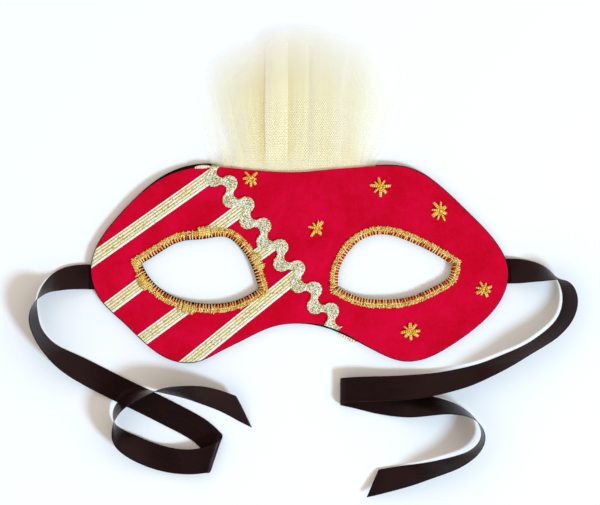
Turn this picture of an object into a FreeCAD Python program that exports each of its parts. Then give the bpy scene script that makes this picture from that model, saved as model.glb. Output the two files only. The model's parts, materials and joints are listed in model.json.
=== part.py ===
import FreeCAD, Part
import math
import os
from FreeCAD import Placement, Rotation, Vector

# A fabric half mask for a masquerade, lying face up on its lining.
#
# Frame, millimetres: X runs across the mask to the right, Y up towards the forehead and
# Z out of the front. The origin is the middle of the nose bridge, on the back of the
# lining, so the whole mask stands on Z = 0.
#
# The mask is a sandwich: black lining, stiffener core and red front panel. The tie
# ribbons and the gathered tulle are sewn into the core's layer. Metallic stripes, a
# rickrack braid, embroidered stars and the eye stitching lie on the front panel. The
# tulle fan tips about its seam at the top edge.

DIMENSIONS = [
    ("mask_width", 211.0),           # side to side
    ("mask_height", 99.2),           # lowest cheek to highest brow
    ("lining_thick", 1.2),
    ("core_thick", 1.0),
    ("front_thick", 1.2),
    ("lining_margin", 0.5),          # lining seen outside the front panel
    ("lining_fullness", 1.3),        # more of it at the left brow, where it was cut full
    ("core_inset", 2.0),             # core's edge inside the front panel's edge
    ("eye_lining_margin", 0.4),      # lining seen inside an eye hole
    ("eye_core_setback", 0.8),       # core's edge back from an eye hole
    ("layer_clearance", 0.2),        # between the core and what lies in its pockets
    ("stitch_setback", 1.5),         # cut edge of an eye hole to its stitched band
    ("stitch_width", 2.4),
    ("stitch_thick", 0.7),
    ("stripe_width", 7.0),
    ("stripe_thick", 0.3),
    ("braid_width", 6.6),            # edge to edge, square to the run of the braid
    ("braid_swing", 3.1),            # how far the wave swings to each side
    ("braid_wave", 13.75),           # length of one wave
    ("braid_thick", 1.1),
    ("star_thick", 0.6),
    ("ribbon_width", 12.7),
    ("ribbon_thick", 0.4),
    ("tab_length", 14.0),            # ribbon sewn in between lining and front
    ("heading_depth", 9.0),          # gathered tulle sewn in below the mask's top edge
    ("heading_width", 78.0),
    ("heading_centre", -3.0),
    ("seam_height", 43.6),           # the line that the fan tips about
    ("hinge_gap", 0.65),             # from that line to the tulle on each side of it
    ("net_base_thick", 0.2),
    ("net_base_gap", 0.15),
    ("net_top_thick", 2.2),
    ("net_top_gap", 0.5),
    ("net_reach", 68.5),             # seam to the crown of the fan
]

PATTERN_WIDTH = 211.0
PATTERN_HEIGHT = 99.2

# Front panel's edge, clockwise from the middle of the brow. It was cut by hand, so the
# two sides differ a little.
FRONT_EDGE = [
    (0, 38.0), (16, 39.4), (31, 40.5), (44, 41.3), (56, 39.8), (71.5, 30.4), (85.5, 17.2),
    (98.6, 3.2), (105.4, -11.5), (102.4, -25.4), (90.5, -39.4), (75, -50.6), (62.5, -56.6),
    (53, -57.6), (41, -53.6), (27.5, -46.2), (14, -40.0), (0, -38.4),
    (-14, -40.1), (-28.4, -46.6), (-41, -52.9), (-52, -57.9), (-62, -57.9), (-74, -52.0),
    (-88.5, -38.6), (-101, -26.0), (-105.6, -12.5), (-103, -0.6), (-92.5, 14.6),
    (-80.5, 27.0), (-67, 36.0), (-51, 40.4), (-33, 39.9), (-16, 38.4),
]
# Points of the lining's edge, counted as above, where the lining was cut full.
FULL_POINTS = {30: 0.6, 31: 1.0, 32: 0.7}

RIGHT_UPPER_LID = [(19, -20.8), (19.3, -13), (23.4, -3.6), (32, 4.6), (42.5, 6.9), (55.5, 3.4),
                   (67.5, -2.3), (77.8, -8.6)]
RIGHT_LOWER_LID = [(77.8, -8.6), (76.4, -15), (69, -20.2), (57.5, -25.4), (43, -27.3),
                   (30, -26.0), (19, -20.8)]
LEFT_UPPER_LID = [(-81.4, -8.1), (-72, -2.3), (-60.5, 3.7), (-48, 5.1), (-37.5, 6.0),
                  (-30.6, 1.6), (-24.4, -7.2), (-19.7, -21.5)]
LEFT_LOWER_LID = [(-19.7, -21.5), (-29.5, -27.1), (-44.5, -29.8), (-58.5, -28.0),
                  (-70, -22.8), (-77.5, -15.3), (-81.4, -8.1)]

# Stripes on the left side: a point on the middle line and the slope in degrees; the
# pieces of each are named, with how far along the slope they start and stop. A stop of
# None is under the braid.
STRIPES = [
    ((-75.6, 14.4), 35.2, [("stripe_1", -45, None)]),
    ((-61.0, -4.2), 36.6, [("stripe_2_lower", -52, -12), ("stripe_2_upper", 14, None)]),
    ((-41.0, -18.6), 36.2, [("stripe_3_lower", -58, -8), ("stripe_3_upper", 11, None)]),
    ((-30.5, -37.6), 38.9, [("stripe_4", -45, None)]),
]

BRAID_MIDDLE = (-13.1, 0.2)
BRAID_HEADING = -51.45
BRAID_WAVES = (-4, 3)                # whole waves to each side of the phase
BRAID_PHASE = 2.2
BRAID_BROAD_SHARE = 0.57            # of a wave, taken by its broad bend

# Name, centre, reach of the arms, number of arms, turn in degrees.
STARS = [
    ("star_brow_middle", (-24.9, 35.2), 4.6, 7, 10),
    ("star_nose_bridge", (8.5, 9.3), 4.8, 7, 25),
    ("star_brow_right", (41.0, 30.6), 6.0, 8, 8),
    ("star_temple", (71.0, 18.2), 5.6, 7, 0),
    ("star_cheek_side", (93.5, -21.4), 4.8, 7, 15),
    ("star_cheek", (56.0, -42.6), 5.6, 8, 5),
]
STAR_WAIST = 0.36

# Tulle: name, shares of the heading's width where the layer starts and stops, then the
# left shoulder, the crown and the right shoulder, each as x and height above the seam.
NET_LAYERS = [
    ("tulle_layer_back", 0.0, 1.0, (-57, 34), (3, 68.5), (62, 33)),
    ("tulle_layer_middle", 0.04, 0.97, (-44, 50), (-2, 68.0), (42, 52)),
    ("tulle_layer_front", 0.1, 0.9, (-34, 55), (-3, 67.0), (31, 60)),
]

# Tie ribbons. Each row: distance out from the mask's side, y, height of the lower edge
# above the table, then the direction across the ribbon as a heading in plan and a lean
# above the table, both in degrees.
LEFT_RIBBON = [
    (0.0, -15.2, 1.4, -90, 0), (8.4, -15.0, 1.0, -90, 20), (16.6, -17.2, 0.8, -75, 42),
    (22.6, -21.4, 0.8, -35, 66), (26.8, -27.0, 0.8, 0, 88), (28.2, -34.4, 0.8, 180, 72),
    (26.4, -42.6, 0.8, 195, 73), (20.6, -51.0, 0.7, 215, 62), (11.4, -58.0, 0.6, 230, 38),
    (-0.4, -64.8, 0.5, 238, 12), (-13.5, -71.6, 0.4, 240, 0), (-27.0, -78.0, 0.4, 242, 0),
    (-39.5, -84.3, 0.4, 240, 0), (-49.6, -89.4, 0.4, 236, 0), (-58.3, -94.6, 0.4, 234, 0),
    (-65.1, -102.9, 0.5, 250, 0), (-64.1, -106.3, 6.0, 253, 0), (-54.1, -108.9, 4.8, 264, 0),
    (-43.6, -108.7, 2.6, 268, 2), (-34.0, -106.6, 1.4, 258, 8), (-24.0, -102.4, 1.4, 245, 22),
    (-15.6, -97.0, 1.4, 220, 45), (-12.2, -89.8, 1.6, 90, 88), (-14.0, -82.2, 2.0, -10, 66),
    (-19.8, -76.6, 2.6, -45, 64), (-28.4, -73.4, 2.6, -60, 75), (-38.2, -72.4, 1.8, 90, 74),
    (-48.6, -73.3, 1.0, 87, 56), (-58.8, -75.2, 0.6, 75, 40), (-68.6, -78.4, 0.5, 68, 32),
    (-78.6, -83.4, 0.4, 64, 24),
]
RIGHT_RIBBON = [
    (0.0, -12.2, 1.4, -90, 0), (8.4, -12.2, 1.0, -90, 26), (16.2, -12.8, 1.0, -85, 50),
    (22.9, -14.6, 1.1, -65, 78), (28.2, -19.0, 1.2, 28, 68), (30.6, -26.4, 1.3, 5, 58),
    (28.8, -34.8, 1.3, -20, 58), (23.2, -42.0, 1.3, -43, 64), (15.0, -48.2, 1.3, -52, 68),
    (4.6, -54.0, 1.3, -60, 66), (-7.4, -60.2, 1.4, -66, 56), (-20.6, -65.4, 1.6, -73, 45),
    (-34.6, -68.9, 2.2, -82, 32), (-48.6, -70.9, 3.4, -86, 18), (-62.0, -71.6, 4.8, -89, 8),
    (-75.8, -71.9, 5.8, -90, 0), (-85.6, -72.5, 5.8, -90, 0), (-86.4, -73.8, 1.0, -90, 0),
    (-77.6, -75.6, 0.6, -92, 0), (-66.4, -78.6, 0.5, -98, 0), (-53.0, -80.4, 0.5, -92, 12),
    (-40.8, -80.2, 0.8, -90, 42), (-29.8, -81.0, 1.4, -88, 64), (-21.0, -84.0, 2.0, -70, 80),
    (-15.4, -89.4, 2.4, -30, 88), (-13.4, -96.2, 2.6, -10, 86), (-16.8, -102.8, 2.4, -35, 78),
    (-24.4, -107.6, 2.0, -60, 68), (-35.0, -111.4, 1.5, -72, 60), (-47.2, -114.6, 1.0, -76, 45),
    (-59.0, -117.4, 0.6, -77, 28), (-69.6, -119.8, 1.2, -77, 12),
]
CUT_SLANT = 40.0                     # cut ends, degrees off square
ARC_SHARE = 0.45                     # of the shorter run, taken by an arc's tangent
ARC_STEPS = 2

doc = FreeCAD.newDocument("masquerade_mask")
sheet = doc.addObject("Spreadsheet::Sheet", "dimensions")
for row, (alias, value) in enumerate(DIMENSIONS, start=1):
    sheet.set(f"A{row}", alias)
    sheet.set(f"B{row}", str(value))
    sheet.setAlias(f"B{row}", alias)
doc.recompute()


def size(alias):
    """A driving dimension, read back from the sheet."""
    return float(sheet.get(alias))


def on_pattern(point):
    """A pattern point, moved with the mask's overall width and height."""
    x, y = point
    return Vector(x * size("mask_width") / PATTERN_WIDTH, y * size("mask_height") / PATTERN_HEIGHT, 0)


SIDE = size("mask_width") / 2
FRONT_LEVEL = size("lining_thick") + size("core_thick")
TRIM_LEVEL = FRONT_LEVEL + size("front_thick")
RIBBON_LEVEL = size("lining_thick") + size("ribbon_thick") / 2
SEAM_LEVEL = size("lining_thick") + size("core_thick") / 2
SEAM_Y = size("seam_height") + (size("mask_height") - PATTERN_HEIGHT) * 41.3 / PATTERN_HEIGHT
HEADING_LEFT = size("heading_centre") - size("heading_width") / 2


def heading_vector(heading):
    """Unit vector along a heading in plan, in degrees from X."""
    return Vector(math.cos(math.radians(heading)), math.sin(math.radians(heading)), 0)


def smooth_ring(points):
    """A closed smooth curve through the points, as a wire."""
    curve = Part.BSplineCurve()
    curve.interpolate(Points=points, PeriodicFlag=True)
    return Part.Wire(curve.toShape())


def smooth_edge(points):
    """An open smooth curve through the points."""
    curve = Part.BSplineCurve()
    curve.interpolate(Points=points)
    return curve.toShape()


def square_to(along):
    """The outward direction beside a clockwise edge that runs along a vector."""
    return Vector(-along.y, along.x, 0).normalize()


def moved_points(points, distance, extra):
    """Edge points moved outwards, square to the line between their neighbours. A point
    whose number is in extra moves by that share of the fullness more."""
    moved = []
    for index, point in enumerate(points):
        outwards = square_to(points[(index + 1) % len(points)] - points[index - 1])
        moved.append(point + outwards * (distance + extra.get(index, 0) * size("lining_fullness")))
    return moved


def eye_wire(lids, distance):
    """An eye hole's edge, moved outwards by a distance: two smooth lids that meet in two
    sharp corners, which move along their mitres."""
    upper, lower = [[on_pattern(point) for point in lid] for lid in lids]
    corners = []
    for before, after in ((lower, upper), (upper, lower)):
        first = square_to(before[-1] - before[-2])
        second = square_to(after[1] - after[0])
        corners.append(after[0] + (first + second) * (distance / (1 + first.dot(second))))
    upper_inside = moved_points(upper, distance, {})[1:-1]
    lower_inside = moved_points(lower, distance, {})[1:-1]
    return Part.Wire([
        smooth_edge([corners[0]] + upper_inside + [corners[1]]),
        smooth_edge([corners[1]] + lower_inside + [corners[0]]),
    ])


FRONT_POINTS = [on_pattern(point) for point in FRONT_EDGE]
FRONT_WIRE = smooth_ring(FRONT_POINTS)
RIGHT_EYE = (RIGHT_UPPER_LID, RIGHT_LOWER_LID)
LEFT_EYE = (LEFT_UPPER_LID, LEFT_LOWER_LID)


def both_eyes(distance):
    """Both eye holes' edges, moved outwards by a distance."""
    return [eye_wire(lids, distance) for lids in (RIGHT_EYE, LEFT_EYE)]


def sketch_curves(wire):
    """The wire's edges as curves that a sketch takes."""
    curves = []
    for edge in wire.Edges:
        nurbs = edge.toNurbs().Edges[0]
        curve = nurbs.Curve.copy()
        if not curve.isPeriodic():
            curve.segment(nurbs.FirstParameter, nurbs.LastParameter)
        curves.append(curve)
    return curves


def flat_body(name, wires, thickness, level):
    """A PartDesign body cut from flat sheet: one sketch of the wires, padded upwards.
    Thickness and level are expressions of the sheet's cells."""
    body = doc.addObject("PartDesign::Body", name)
    body.Label = name
    plane = next(item for item in body.Origin.OriginFeatures if item.Role == "XY_Plane")
    sketch = body.newObject("Sketcher::SketchObject", name + "_outline")
    sketch.AttachmentSupport = [(plane, "")]
    sketch.MapMode = "FlatFace"
    for wire in wires:
        for curve in sketch_curves(wire):
            sketch.addGeometry(curve, False)
    pad = body.newObject("PartDesign::Pad", name + "_pad")
    pad.Profile = sketch
    pad.setExpression("Length", thickness)
    body.setExpression("Placement.Base.z", level)
    return body


def cells(text):
    """An expression in which each sheet dimension is written by its bare name."""
    for alias, _ in sorted(DIMENSIONS, key=lambda item: -len(item[0])):
        text = text.replace("<" + alias + ">", "dimensions." + alias)
    return text


FRONT_Z = cells("<lining_thick> + <core_thick>")
TRIM_Z = cells("<lining_thick> + <core_thick> + <front_thick>")


def box(name, length, width, height, place):
    """A Part::Box bound to the sheet; place turns and moves it."""
    solid = doc.addObject("Part::Box", name)
    solid.Label = name
    solid.setExpression("Length", cells(length))
    solid.setExpression("Width", cells(width))
    solid.setExpression("Height", cells(height))
    solid.Placement = place
    return solid


def boolean(kind, name, base, tool):
    """A Part::Cut or Part::Common of two objects."""
    result = doc.addObject("Part::" + kind, name)
    result.Label = name
    result.Base = base
    result.Tool = tool
    return result


# --- the sandwich ---------------------------------------------------------------------

front_panel = flat_body("front_panel", [FRONT_WIRE] + both_eyes(0), cells("<front_thick>"), FRONT_Z)

lining_edge = smooth_ring(moved_points(FRONT_POINTS, size("lining_margin"), FULL_POINTS))
lining = flat_body("lining", [lining_edge] + both_eyes(-size("eye_lining_margin")),
                   cells("<lining_thick>"), "0 mm")

core_edge = smooth_ring(moved_points(FRONT_POINTS, -size("core_inset"), {}))
core_blank = flat_body("core_blank", [core_edge] + both_eyes(size("eye_core_setback")),
                       cells("<core_thick>"), cells("<lining_thick>"))

# What lies in the core's layer: the two ribbon tabs and the tulle's gathered heading.
TAB_FROM_SIDE = size("lining_margin") + 0.6


def ribbon_tab(name, x, y):
    """The sewn-in end of a tie ribbon, flat on the lining."""
    corner = Vector(x, y - size("ribbon_width") / 2, size("lining_thick"))
    return box(name, "<tab_length>", "<ribbon_width>", "<ribbon_thick>", Placement(corner, Rotation()))


RIGHT_EXIT = SIDE + TAB_FROM_SIDE
LEFT_EXIT = -SIDE - TAB_FROM_SIDE
right_tab = ribbon_tab("ribbon_tab_right", RIGHT_EXIT - size("tab_length"), RIGHT_RIBBON[0][1])
left_tab = ribbon_tab("ribbon_tab_left", LEFT_EXIT, LEFT_RIBBON[0][1])

heading_foot = Vector(HEADING_LEFT, SEAM_Y - size("hinge_gap") - size("heading_depth"), size("lining_thick"))
heading = box("tulle_heading", "<heading_width>", "<heading_depth>", "<core_thick>",
              Placement(heading_foot, Rotation()))


def pocket(name, piece_length, piece_width, corner):
    """Room in the core for a piece, with clearance all round."""
    clearance = size("layer_clearance")
    place = Placement(Vector(corner.x - clearance, corner.y - clearance, size("lining_thick")), Rotation())
    return box(name, f"{piece_length} + 2 * <layer_clearance>",
               f"{piece_width} + 2 * <layer_clearance>", "<core_thick>", place)


pockets = doc.addObject("Part::MultiFuse", "core_pockets")
pockets.Shapes = [
    pocket("pocket_right", "<tab_length>", "<ribbon_width>", right_tab.Placement.Base),
    pocket("pocket_left", "<tab_length>", "<ribbon_width>", left_tab.Placement.Base),
    pocket("pocket_heading", "<heading_width>", "<heading_depth>", heading_foot),
]
core = boolean("Cut", "stiffener_core", core_blank, pockets)

# --- trims on the front panel ---------------------------------------------------------


STITCH_REACH = size("stitch_setback") + size("stitch_width")


def stitching(name, lids):
    """The stitched band round an eye hole."""
    edges = [eye_wire(lids, STITCH_REACH), eye_wire(lids, size("stitch_setback"))]
    return flat_body(name, edges, cells("<stitch_thick>"), TRIM_Z)


right_stitching = stitching("eye_stitching_right", RIGHT_EYE)
left_stitching = stitching("eye_stitching_left", LEFT_EYE)

FIELD_HEIGHT = "10 mm"               # taller than the whole sandwich and its trims
stripe_field = flat_body("stripe_field", [FRONT_WIRE] + both_eyes(STITCH_REACH), FIELD_HEIGHT, "0 mm")
braid_field = flat_body("braid_field", [FRONT_WIRE], FIELD_HEIGHT, "0 mm")


def braid_side(side):
    """One edge of the rickrack braid, as tangent arcs. In each wave a broad bend swings
    out and a tight bend swings back; their chords share the wave as their rises share the
    swing, which makes them meet smoothly."""
    along = heading_vector(BRAID_HEADING)
    across = heading_vector(BRAID_HEADING + 90) * side
    middle = on_pattern(BRAID_MIDDLE)
    wave = size("braid_wave")
    swing = size("braid_swing")
    top = size("braid_width") / 2 + swing
    knee = top - 2 * swing * BRAID_BROAD_SHARE
    half_bend = wave * BRAID_BROAD_SHARE / 2
    phase = BRAID_PHASE if side > 0 else BRAID_PHASE + wave / 2
    first, last = BRAID_WAVES

    def place(run, height):
        return middle + along * run + across * height

    arcs = []
    for index in range(first, last + 1):
        peak = phase + wave * index
        knees = [place(peak - half_bend, knee), place(peak + half_bend, knee)]
        arcs.append(Part.Arc(knees[0], place(peak, top), knees[1]).toShape())
        if index < last:
            dip = place(peak + wave / 2, top - 2 * swing)
            arcs.append(Part.Arc(knees[1], dip, place(peak + wave - half_bend, knee)).toShape())
    return arcs


def wire_ends(edges):
    """The first and last points of a row of edges."""
    return edges[0].firstVertex().Point, edges[-1].lastVertex().Point


upper_side = braid_side(1)
lower_side = braid_side(-1)
upper_start, upper_stop = wire_ends(upper_side)
lower_start, lower_stop = wire_ends(lower_side)
braid_ends = [Part.makeLine(upper_stop, lower_stop), Part.makeLine(lower_start, upper_start)]
braid_outline = Part.Wire(Part.__sortEdges__(upper_side + lower_side + braid_ends))
braid_blank = flat_body("braid_blank", [braid_outline], cells("<braid_thick>"), TRIM_Z)
braid_trimmed = boolean("Common", "braid_trimmed", braid_blank, braid_field)



def run_to_braid(start, heading):
    """How far a line from a point along a heading runs to the braid's middle line."""
    normal = heading_vector(BRAID_HEADING + 90)
    return (on_pattern(BRAID_MIDDLE) - start).dot(normal) / heading_vector(heading).dot(normal)


stripes = []
for anchor, slope, bands in STRIPES:
    turn = Rotation(Vector(0, 0, 1), slope)
    anchor = on_pattern(anchor)
    for name, start, stop in bands:
        stop = run_to_braid(anchor, slope) if stop is None else stop
        corner = anchor + turn.multVec(Vector(start, -size("stripe_width") / 2, 0))
        corner.z = TRIM_LEVEL
        band = box(name + "_band", f"{stop - start:.3f} mm", "<stripe_width>", "<stripe_thick>",
                   Placement(corner, turn))
        stripes.append(boolean("Common", name, band, stripe_field))

stripe_stack = doc.addObject("Part::Compound", "stripe_stack")
stripe_stack.Links = stripes
braid = boolean("Cut", "rickrack_braid", braid_trimmed, stripe_stack)


def star(name, centre, reach, arms, turn):
    """An embroidered star: a polygon whose corners lie in turn on the reach of the arms
    and on the waist between them."""
    corners = []
    for index in range(2 * arms):
        angle = math.radians(turn + 180 * index / arms)
        radius = reach if index % 2 == 0 else reach * STAR_WAIST
        corners.append(Vector(radius * math.cos(angle), radius * math.sin(angle), 0))
    body = flat_body(name, [Part.makePolygon(corners + corners[:1])], cells("<star_thick>"), TRIM_Z)
    place = on_pattern(centre)
    body.Placement = Placement(Vector(place.x, place.y, TRIM_LEVEL), Rotation())
    return body


stars = [star(*row) for row in STARS]

# --- tulle fan ------------------------------------------------------------------------


def net_layer(index, name, start, stop, left, crown, right):
    """One layer of tulle: a fan in plan, and seen from the side a wedge that starts thin
    in the stack at the seam and ends thick at the crown."""
    width = size("heading_width")
    foot_y = SEAM_Y + size("hinge_gap")
    left_foot = Vector(HEADING_LEFT + start * width, foot_y, 0)
    right_foot = Vector(HEADING_LEFT + stop * width, foot_y, 0)
    scale = size("net_reach") / 68.5
    shoulders = [Vector(x, SEAM_Y + rise * scale, 0) for x, rise in (left, crown, right)]
    plan = Part.Wire([
        Part.makeLine(left_foot, right_foot),
        Part.makeLine(right_foot, shoulders[2]),
        Part.Arc(shoulders[2], shoulders[1], shoulders[0]).toShape(),
        Part.makeLine(shoulders[0], left_foot),
    ])
    stack = 3 * size("net_base_thick") + 2 * size("net_base_gap")
    foot_low = SEAM_LEVEL - stack / 2 + index * (size("net_base_thick") + size("net_base_gap"))
    head_low = size("net_base_gap") + index * (size("net_top_thick") + size("net_top_gap"))
    head_y = SEAM_Y + size("net_reach") + 5
    profile = Part.makePolygon([
        Vector(-SIDE, foot_y, foot_low), Vector(-SIDE, head_y, head_low),
        Vector(-SIDE, head_y, head_low + size("net_top_thick")),
        Vector(-SIDE, foot_y, foot_low + size("net_base_thick")), Vector(-SIDE, foot_y, foot_low),
    ])
    wedge = Part.Face(profile).extrude(Vector(2 * SIDE, 0, 0))
    fan = Part.Face(plan).extrude(Vector(0, 0, head_low + 2 * size("net_top_thick") + FRONT_LEVEL))
    layer = doc.addObject("Part::Feature", name)
    layer.Label = name
    layer.Shape = wedge.common(fan).Solids[0]
    layer.Placement = Placement()
    return layer


net_layers = [net_layer(index, *row) for index, row in enumerate(NET_LAYERS)]

# --- tie ribbons ----------------------------------------------------------------------


def across_vector(heading, lean):
    """Unit vector across a ribbon, from its heading in plan and its lean."""
    return heading_vector(heading) * math.cos(math.radians(lean)) + Vector(0, 0, math.sin(math.radians(lean)))


def ribbon_points(rows, side):
    """The route's points and the directions across it. The middle of the ribbon lies
    half its leaning width above its lower edge."""
    half = size("ribbon_width") / 2
    exit_x = RIGHT_EXIT if side > 0 else LEFT_EXIT
    points = []
    across = []
    for out, y, lift, heading, lean in rows:
        direction = across_vector(heading, lean)
        points.append(Vector(exit_x + side * out, y, lift + half * abs(direction.z)))
        across.append(direction)
    points[0].z = RIBBON_LEVEL
    return points, across


def stations(points, across):
    """Where the ribbon's sections stand: each corner of the route is an arc, tangent to
    both runs. Gives place, tangent and direction across, with the radii and the length."""
    places = [(points[0], (points[1] - points[0]).normalize())]
    marks = [0]
    radii = []
    for before, corner, after in zip(points, points[1:], points[2:]):
        first = (corner - before)
        second = (after - corner)
        reach = ARC_SHARE * min(first.Length, second.Length)
        first.normalize()
        second.normalize()
        turn = first.getAngle(second)
        radii.append(reach / math.tan(turn / 2))
        start = corner - first * reach
        stop = corner + second * reach
        middle = corner + (second - first).normalize() * (radii[-1] / math.cos(turn / 2) - radii[-1])
        arc = Part.Arc(start, middle, stop)
        for step in range(ARC_STEPS + 1):
            at = arc.FirstParameter + (arc.LastParameter - arc.FirstParameter) * step / ARC_STEPS
            places.append((arc.value(at), arc.tangent(at)[0]))
        marks.append(len(places) - 1 - ARC_STEPS // 2)
    places.append((points[-1], (points[-1] - points[-2]).normalize()))
    marks.append(len(places) - 1)
    run = [0.0]
    for (one, _), (two, _) in zip(places, places[1:]):
        run.append(run[-1] + (two - one).Length)
    sections = []
    for index, (place, tangent) in enumerate(places):
        later = next(number for number, mark in enumerate(marks) if mark >= index and number > 0)
        low, high = run[marks[later - 1]], run[marks[later]]
        share = (run[index] - low) / (high - low)
        direction = (across[later - 1] * (1 - share) + across[later] * share).normalize()
        sections.append((place, tangent, direction))
    return sections, radii, run[-1]


def flat_face(*corners):
    """A flat face with these corners."""
    return Part.Face(Part.makePolygon(corners + corners[:1]))


def banded_solid(rings):
    """A closed solid through rings of four corners: each side from one ring to the next
    is two flat triangles, split alike above and below, with a flat cap at both ends."""
    faces = [flat_face(*rings[0]), flat_face(*rings[-1])]
    for ring, later in zip(rings, rings[1:]):
        for corner in range(4):
            following = (corner + 1) % 4
            near, far = (corner, following) if corner < 2 else (following, corner)
            faces.append(flat_face(ring[near], ring[far], later[near]))
            faces.append(flat_face(ring[far], later[near], later[far]))
    shell = Part.makeShell(faces)
    shell.sewShape()
    solid = Part.makeSolid(shell.Shells[0])
    if solid.Volume < 0:
        solid.reverse()
    return solid


def ribbon(name, rows, side):
    """A flat tie ribbon through its sections. It starts square to the mask's side, and
    its far end is cut on the slant."""
    points, across = ribbon_points(rows, side)
    sections, radii, length = stations(points, across)
    half = size("ribbon_width") / 2
    rings = []
    for index, (place, tangent, direction) in enumerate(sections):
        if index == 0:
            tangent = Vector(side, 0, 0)
        normal = tangent.cross(direction)
        up = normal * (size("ribbon_thick") / 2 / normal.Length)
        reach = direction * (half / normal.Length)
        if index == len(sections) - 1:
            reach = reach - tangent * side * (half * math.tan(math.radians(CUT_SLANT)))
        rings.append([place + reach + up, place - reach + up, place - reach - up, place + reach - up])
    piece = doc.addObject("Part::Feature", name)
    piece.Label = name
    piece.Shape = banded_solid(rings)
    piece.Placement = Placement()
    expected = length * size("ribbon_width") * size("ribbon_thick")
    print(f"{name}: length {length:.1f} mm, volume {piece.Shape.Volume:.0f} against {expected:.0f} mm3")
    print("  radii", " ".join(f"{radius:.1f}" for radius in radii))
    return piece


left_ribbon = ribbon("tie_ribbon_left", LEFT_RIBBON, -1)
right_ribbon = ribbon("tie_ribbon_right", RIGHT_RIBBON, 1)

# --- check and write ------------------------------------------------------------------

doc.recompute()
for item in doc.Objects:
    if "Invalid" in item.State or "Error" in item.State:
        raise RuntimeError(f"{item.Name} failed: {item.State}")

pieces = [front_panel, core, lining, right_stitching, left_stitching, right_tab, left_tab, heading]
pieces += stripes + [braid] + stars + net_layers + [left_ribbon, right_ribbon]
os.makedirs("parts", exist_ok=True)
for piece in pieces:
    shape = piece.Shape
    if shape.isNull() or not shape.isValid() or shape.Volume <= 0:
        raise RuntimeError(f"{piece.Label} is not a sound solid")
for piece in pieces:
    piece.Shape.exportStep(f"parts/{piece.Label}.step")
    bounds = piece.Shape.BoundBox
    print(f"{piece.Label}: {len(piece.Shape.Solids)} solid(s), {piece.Shape.Volume:.1f} mm3,",
          f"x {bounds.XMin:.1f}..{bounds.XMax:.1f}, y {bounds.YMin:.1f}..{bounds.YMax:.1f},",
          f"z {bounds.ZMin:.2f}..{bounds.ZMax:.2f}")
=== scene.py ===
"""A fabric half mask for a masquerade, lying face up: red felt on black lining, metallic
stripes, a plaited rickrack braid, stitched eye holes, embroidered stars, a gathered net
fan and two satin tie ribbons. Metres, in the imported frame: X right, Y up, Z out."""
import json
import math

import bmesh
import bpy
import numpy as np
from mathutils import Matrix, Vector
from bpy.props import FloatProperty, FloatVectorProperty, IntProperty, PointerProperty


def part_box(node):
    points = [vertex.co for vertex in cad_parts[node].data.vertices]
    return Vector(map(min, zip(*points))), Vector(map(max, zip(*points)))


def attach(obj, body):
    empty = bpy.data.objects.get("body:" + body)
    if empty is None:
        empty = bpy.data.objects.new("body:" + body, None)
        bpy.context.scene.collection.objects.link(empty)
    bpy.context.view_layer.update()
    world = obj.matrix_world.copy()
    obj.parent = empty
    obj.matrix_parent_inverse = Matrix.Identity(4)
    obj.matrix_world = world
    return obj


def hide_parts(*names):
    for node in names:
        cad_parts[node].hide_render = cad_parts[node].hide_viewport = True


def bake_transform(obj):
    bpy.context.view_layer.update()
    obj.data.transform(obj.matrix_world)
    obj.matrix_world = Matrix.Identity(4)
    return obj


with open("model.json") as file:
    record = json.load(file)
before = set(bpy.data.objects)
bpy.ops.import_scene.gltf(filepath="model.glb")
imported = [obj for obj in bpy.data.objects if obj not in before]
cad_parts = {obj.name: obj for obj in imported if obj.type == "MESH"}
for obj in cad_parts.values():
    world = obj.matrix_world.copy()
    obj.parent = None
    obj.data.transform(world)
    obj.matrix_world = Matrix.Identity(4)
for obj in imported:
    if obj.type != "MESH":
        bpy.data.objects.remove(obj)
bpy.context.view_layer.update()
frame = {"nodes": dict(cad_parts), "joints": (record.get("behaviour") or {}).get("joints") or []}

bl_info = {
    "name": "Masquerade Mask",
    "version": (1, 0, 0),
    "blender": (4, 5, 0),
    "location": "3D View > Sidebar > Mask",
    "description": "Builds a fabric half mask with its braid, stitching, net fan and tie ribbons",
    "category": "Add Mesh",
}

MM = 0.001
FINE = 1200                          # points on a spline before it is sampled evenly
TIP_SHARE = 0.02                     # width of a thread's tip over that of its middle
FRONT_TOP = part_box("front_panel")[1][2]
FRONT_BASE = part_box("front_panel")[0][2]
LINING_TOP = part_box("lining")[1][2]
SEAM_LEVEL = (FRONT_BASE + LINING_TOP) / 2
SEAM = frame["joints"][0]["pos_m"]

# Cut edges, in millimetres on the pattern, clockwise from the middle of the brow.
FRONT_EDGE = [
    (0, 38.0), (16, 39.4), (31, 40.5), (44, 41.3), (56, 39.8), (71.5, 30.4), (85.5, 17.2),
    (98.6, 3.2), (105.4, -11.5), (102.4, -25.4), (90.5, -39.4), (75, -50.6), (62.5, -56.6),
    (53, -57.6), (41, -53.6), (27.5, -46.2), (14, -40.0), (0, -38.4),
    (-14, -40.1), (-28.4, -46.6), (-41, -52.9), (-52, -57.9), (-62, -57.9), (-74, -52.0),
    (-88.5, -38.6), (-101, -26.0), (-105.6, -12.5), (-103, -0.6), (-92.5, 14.6),
    (-80.5, 27.0), (-67, 36.0), (-51, 40.4), (-33, 39.9), (-16, 38.4),
]
SEAM_ALLOWANCE = 0.5
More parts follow.
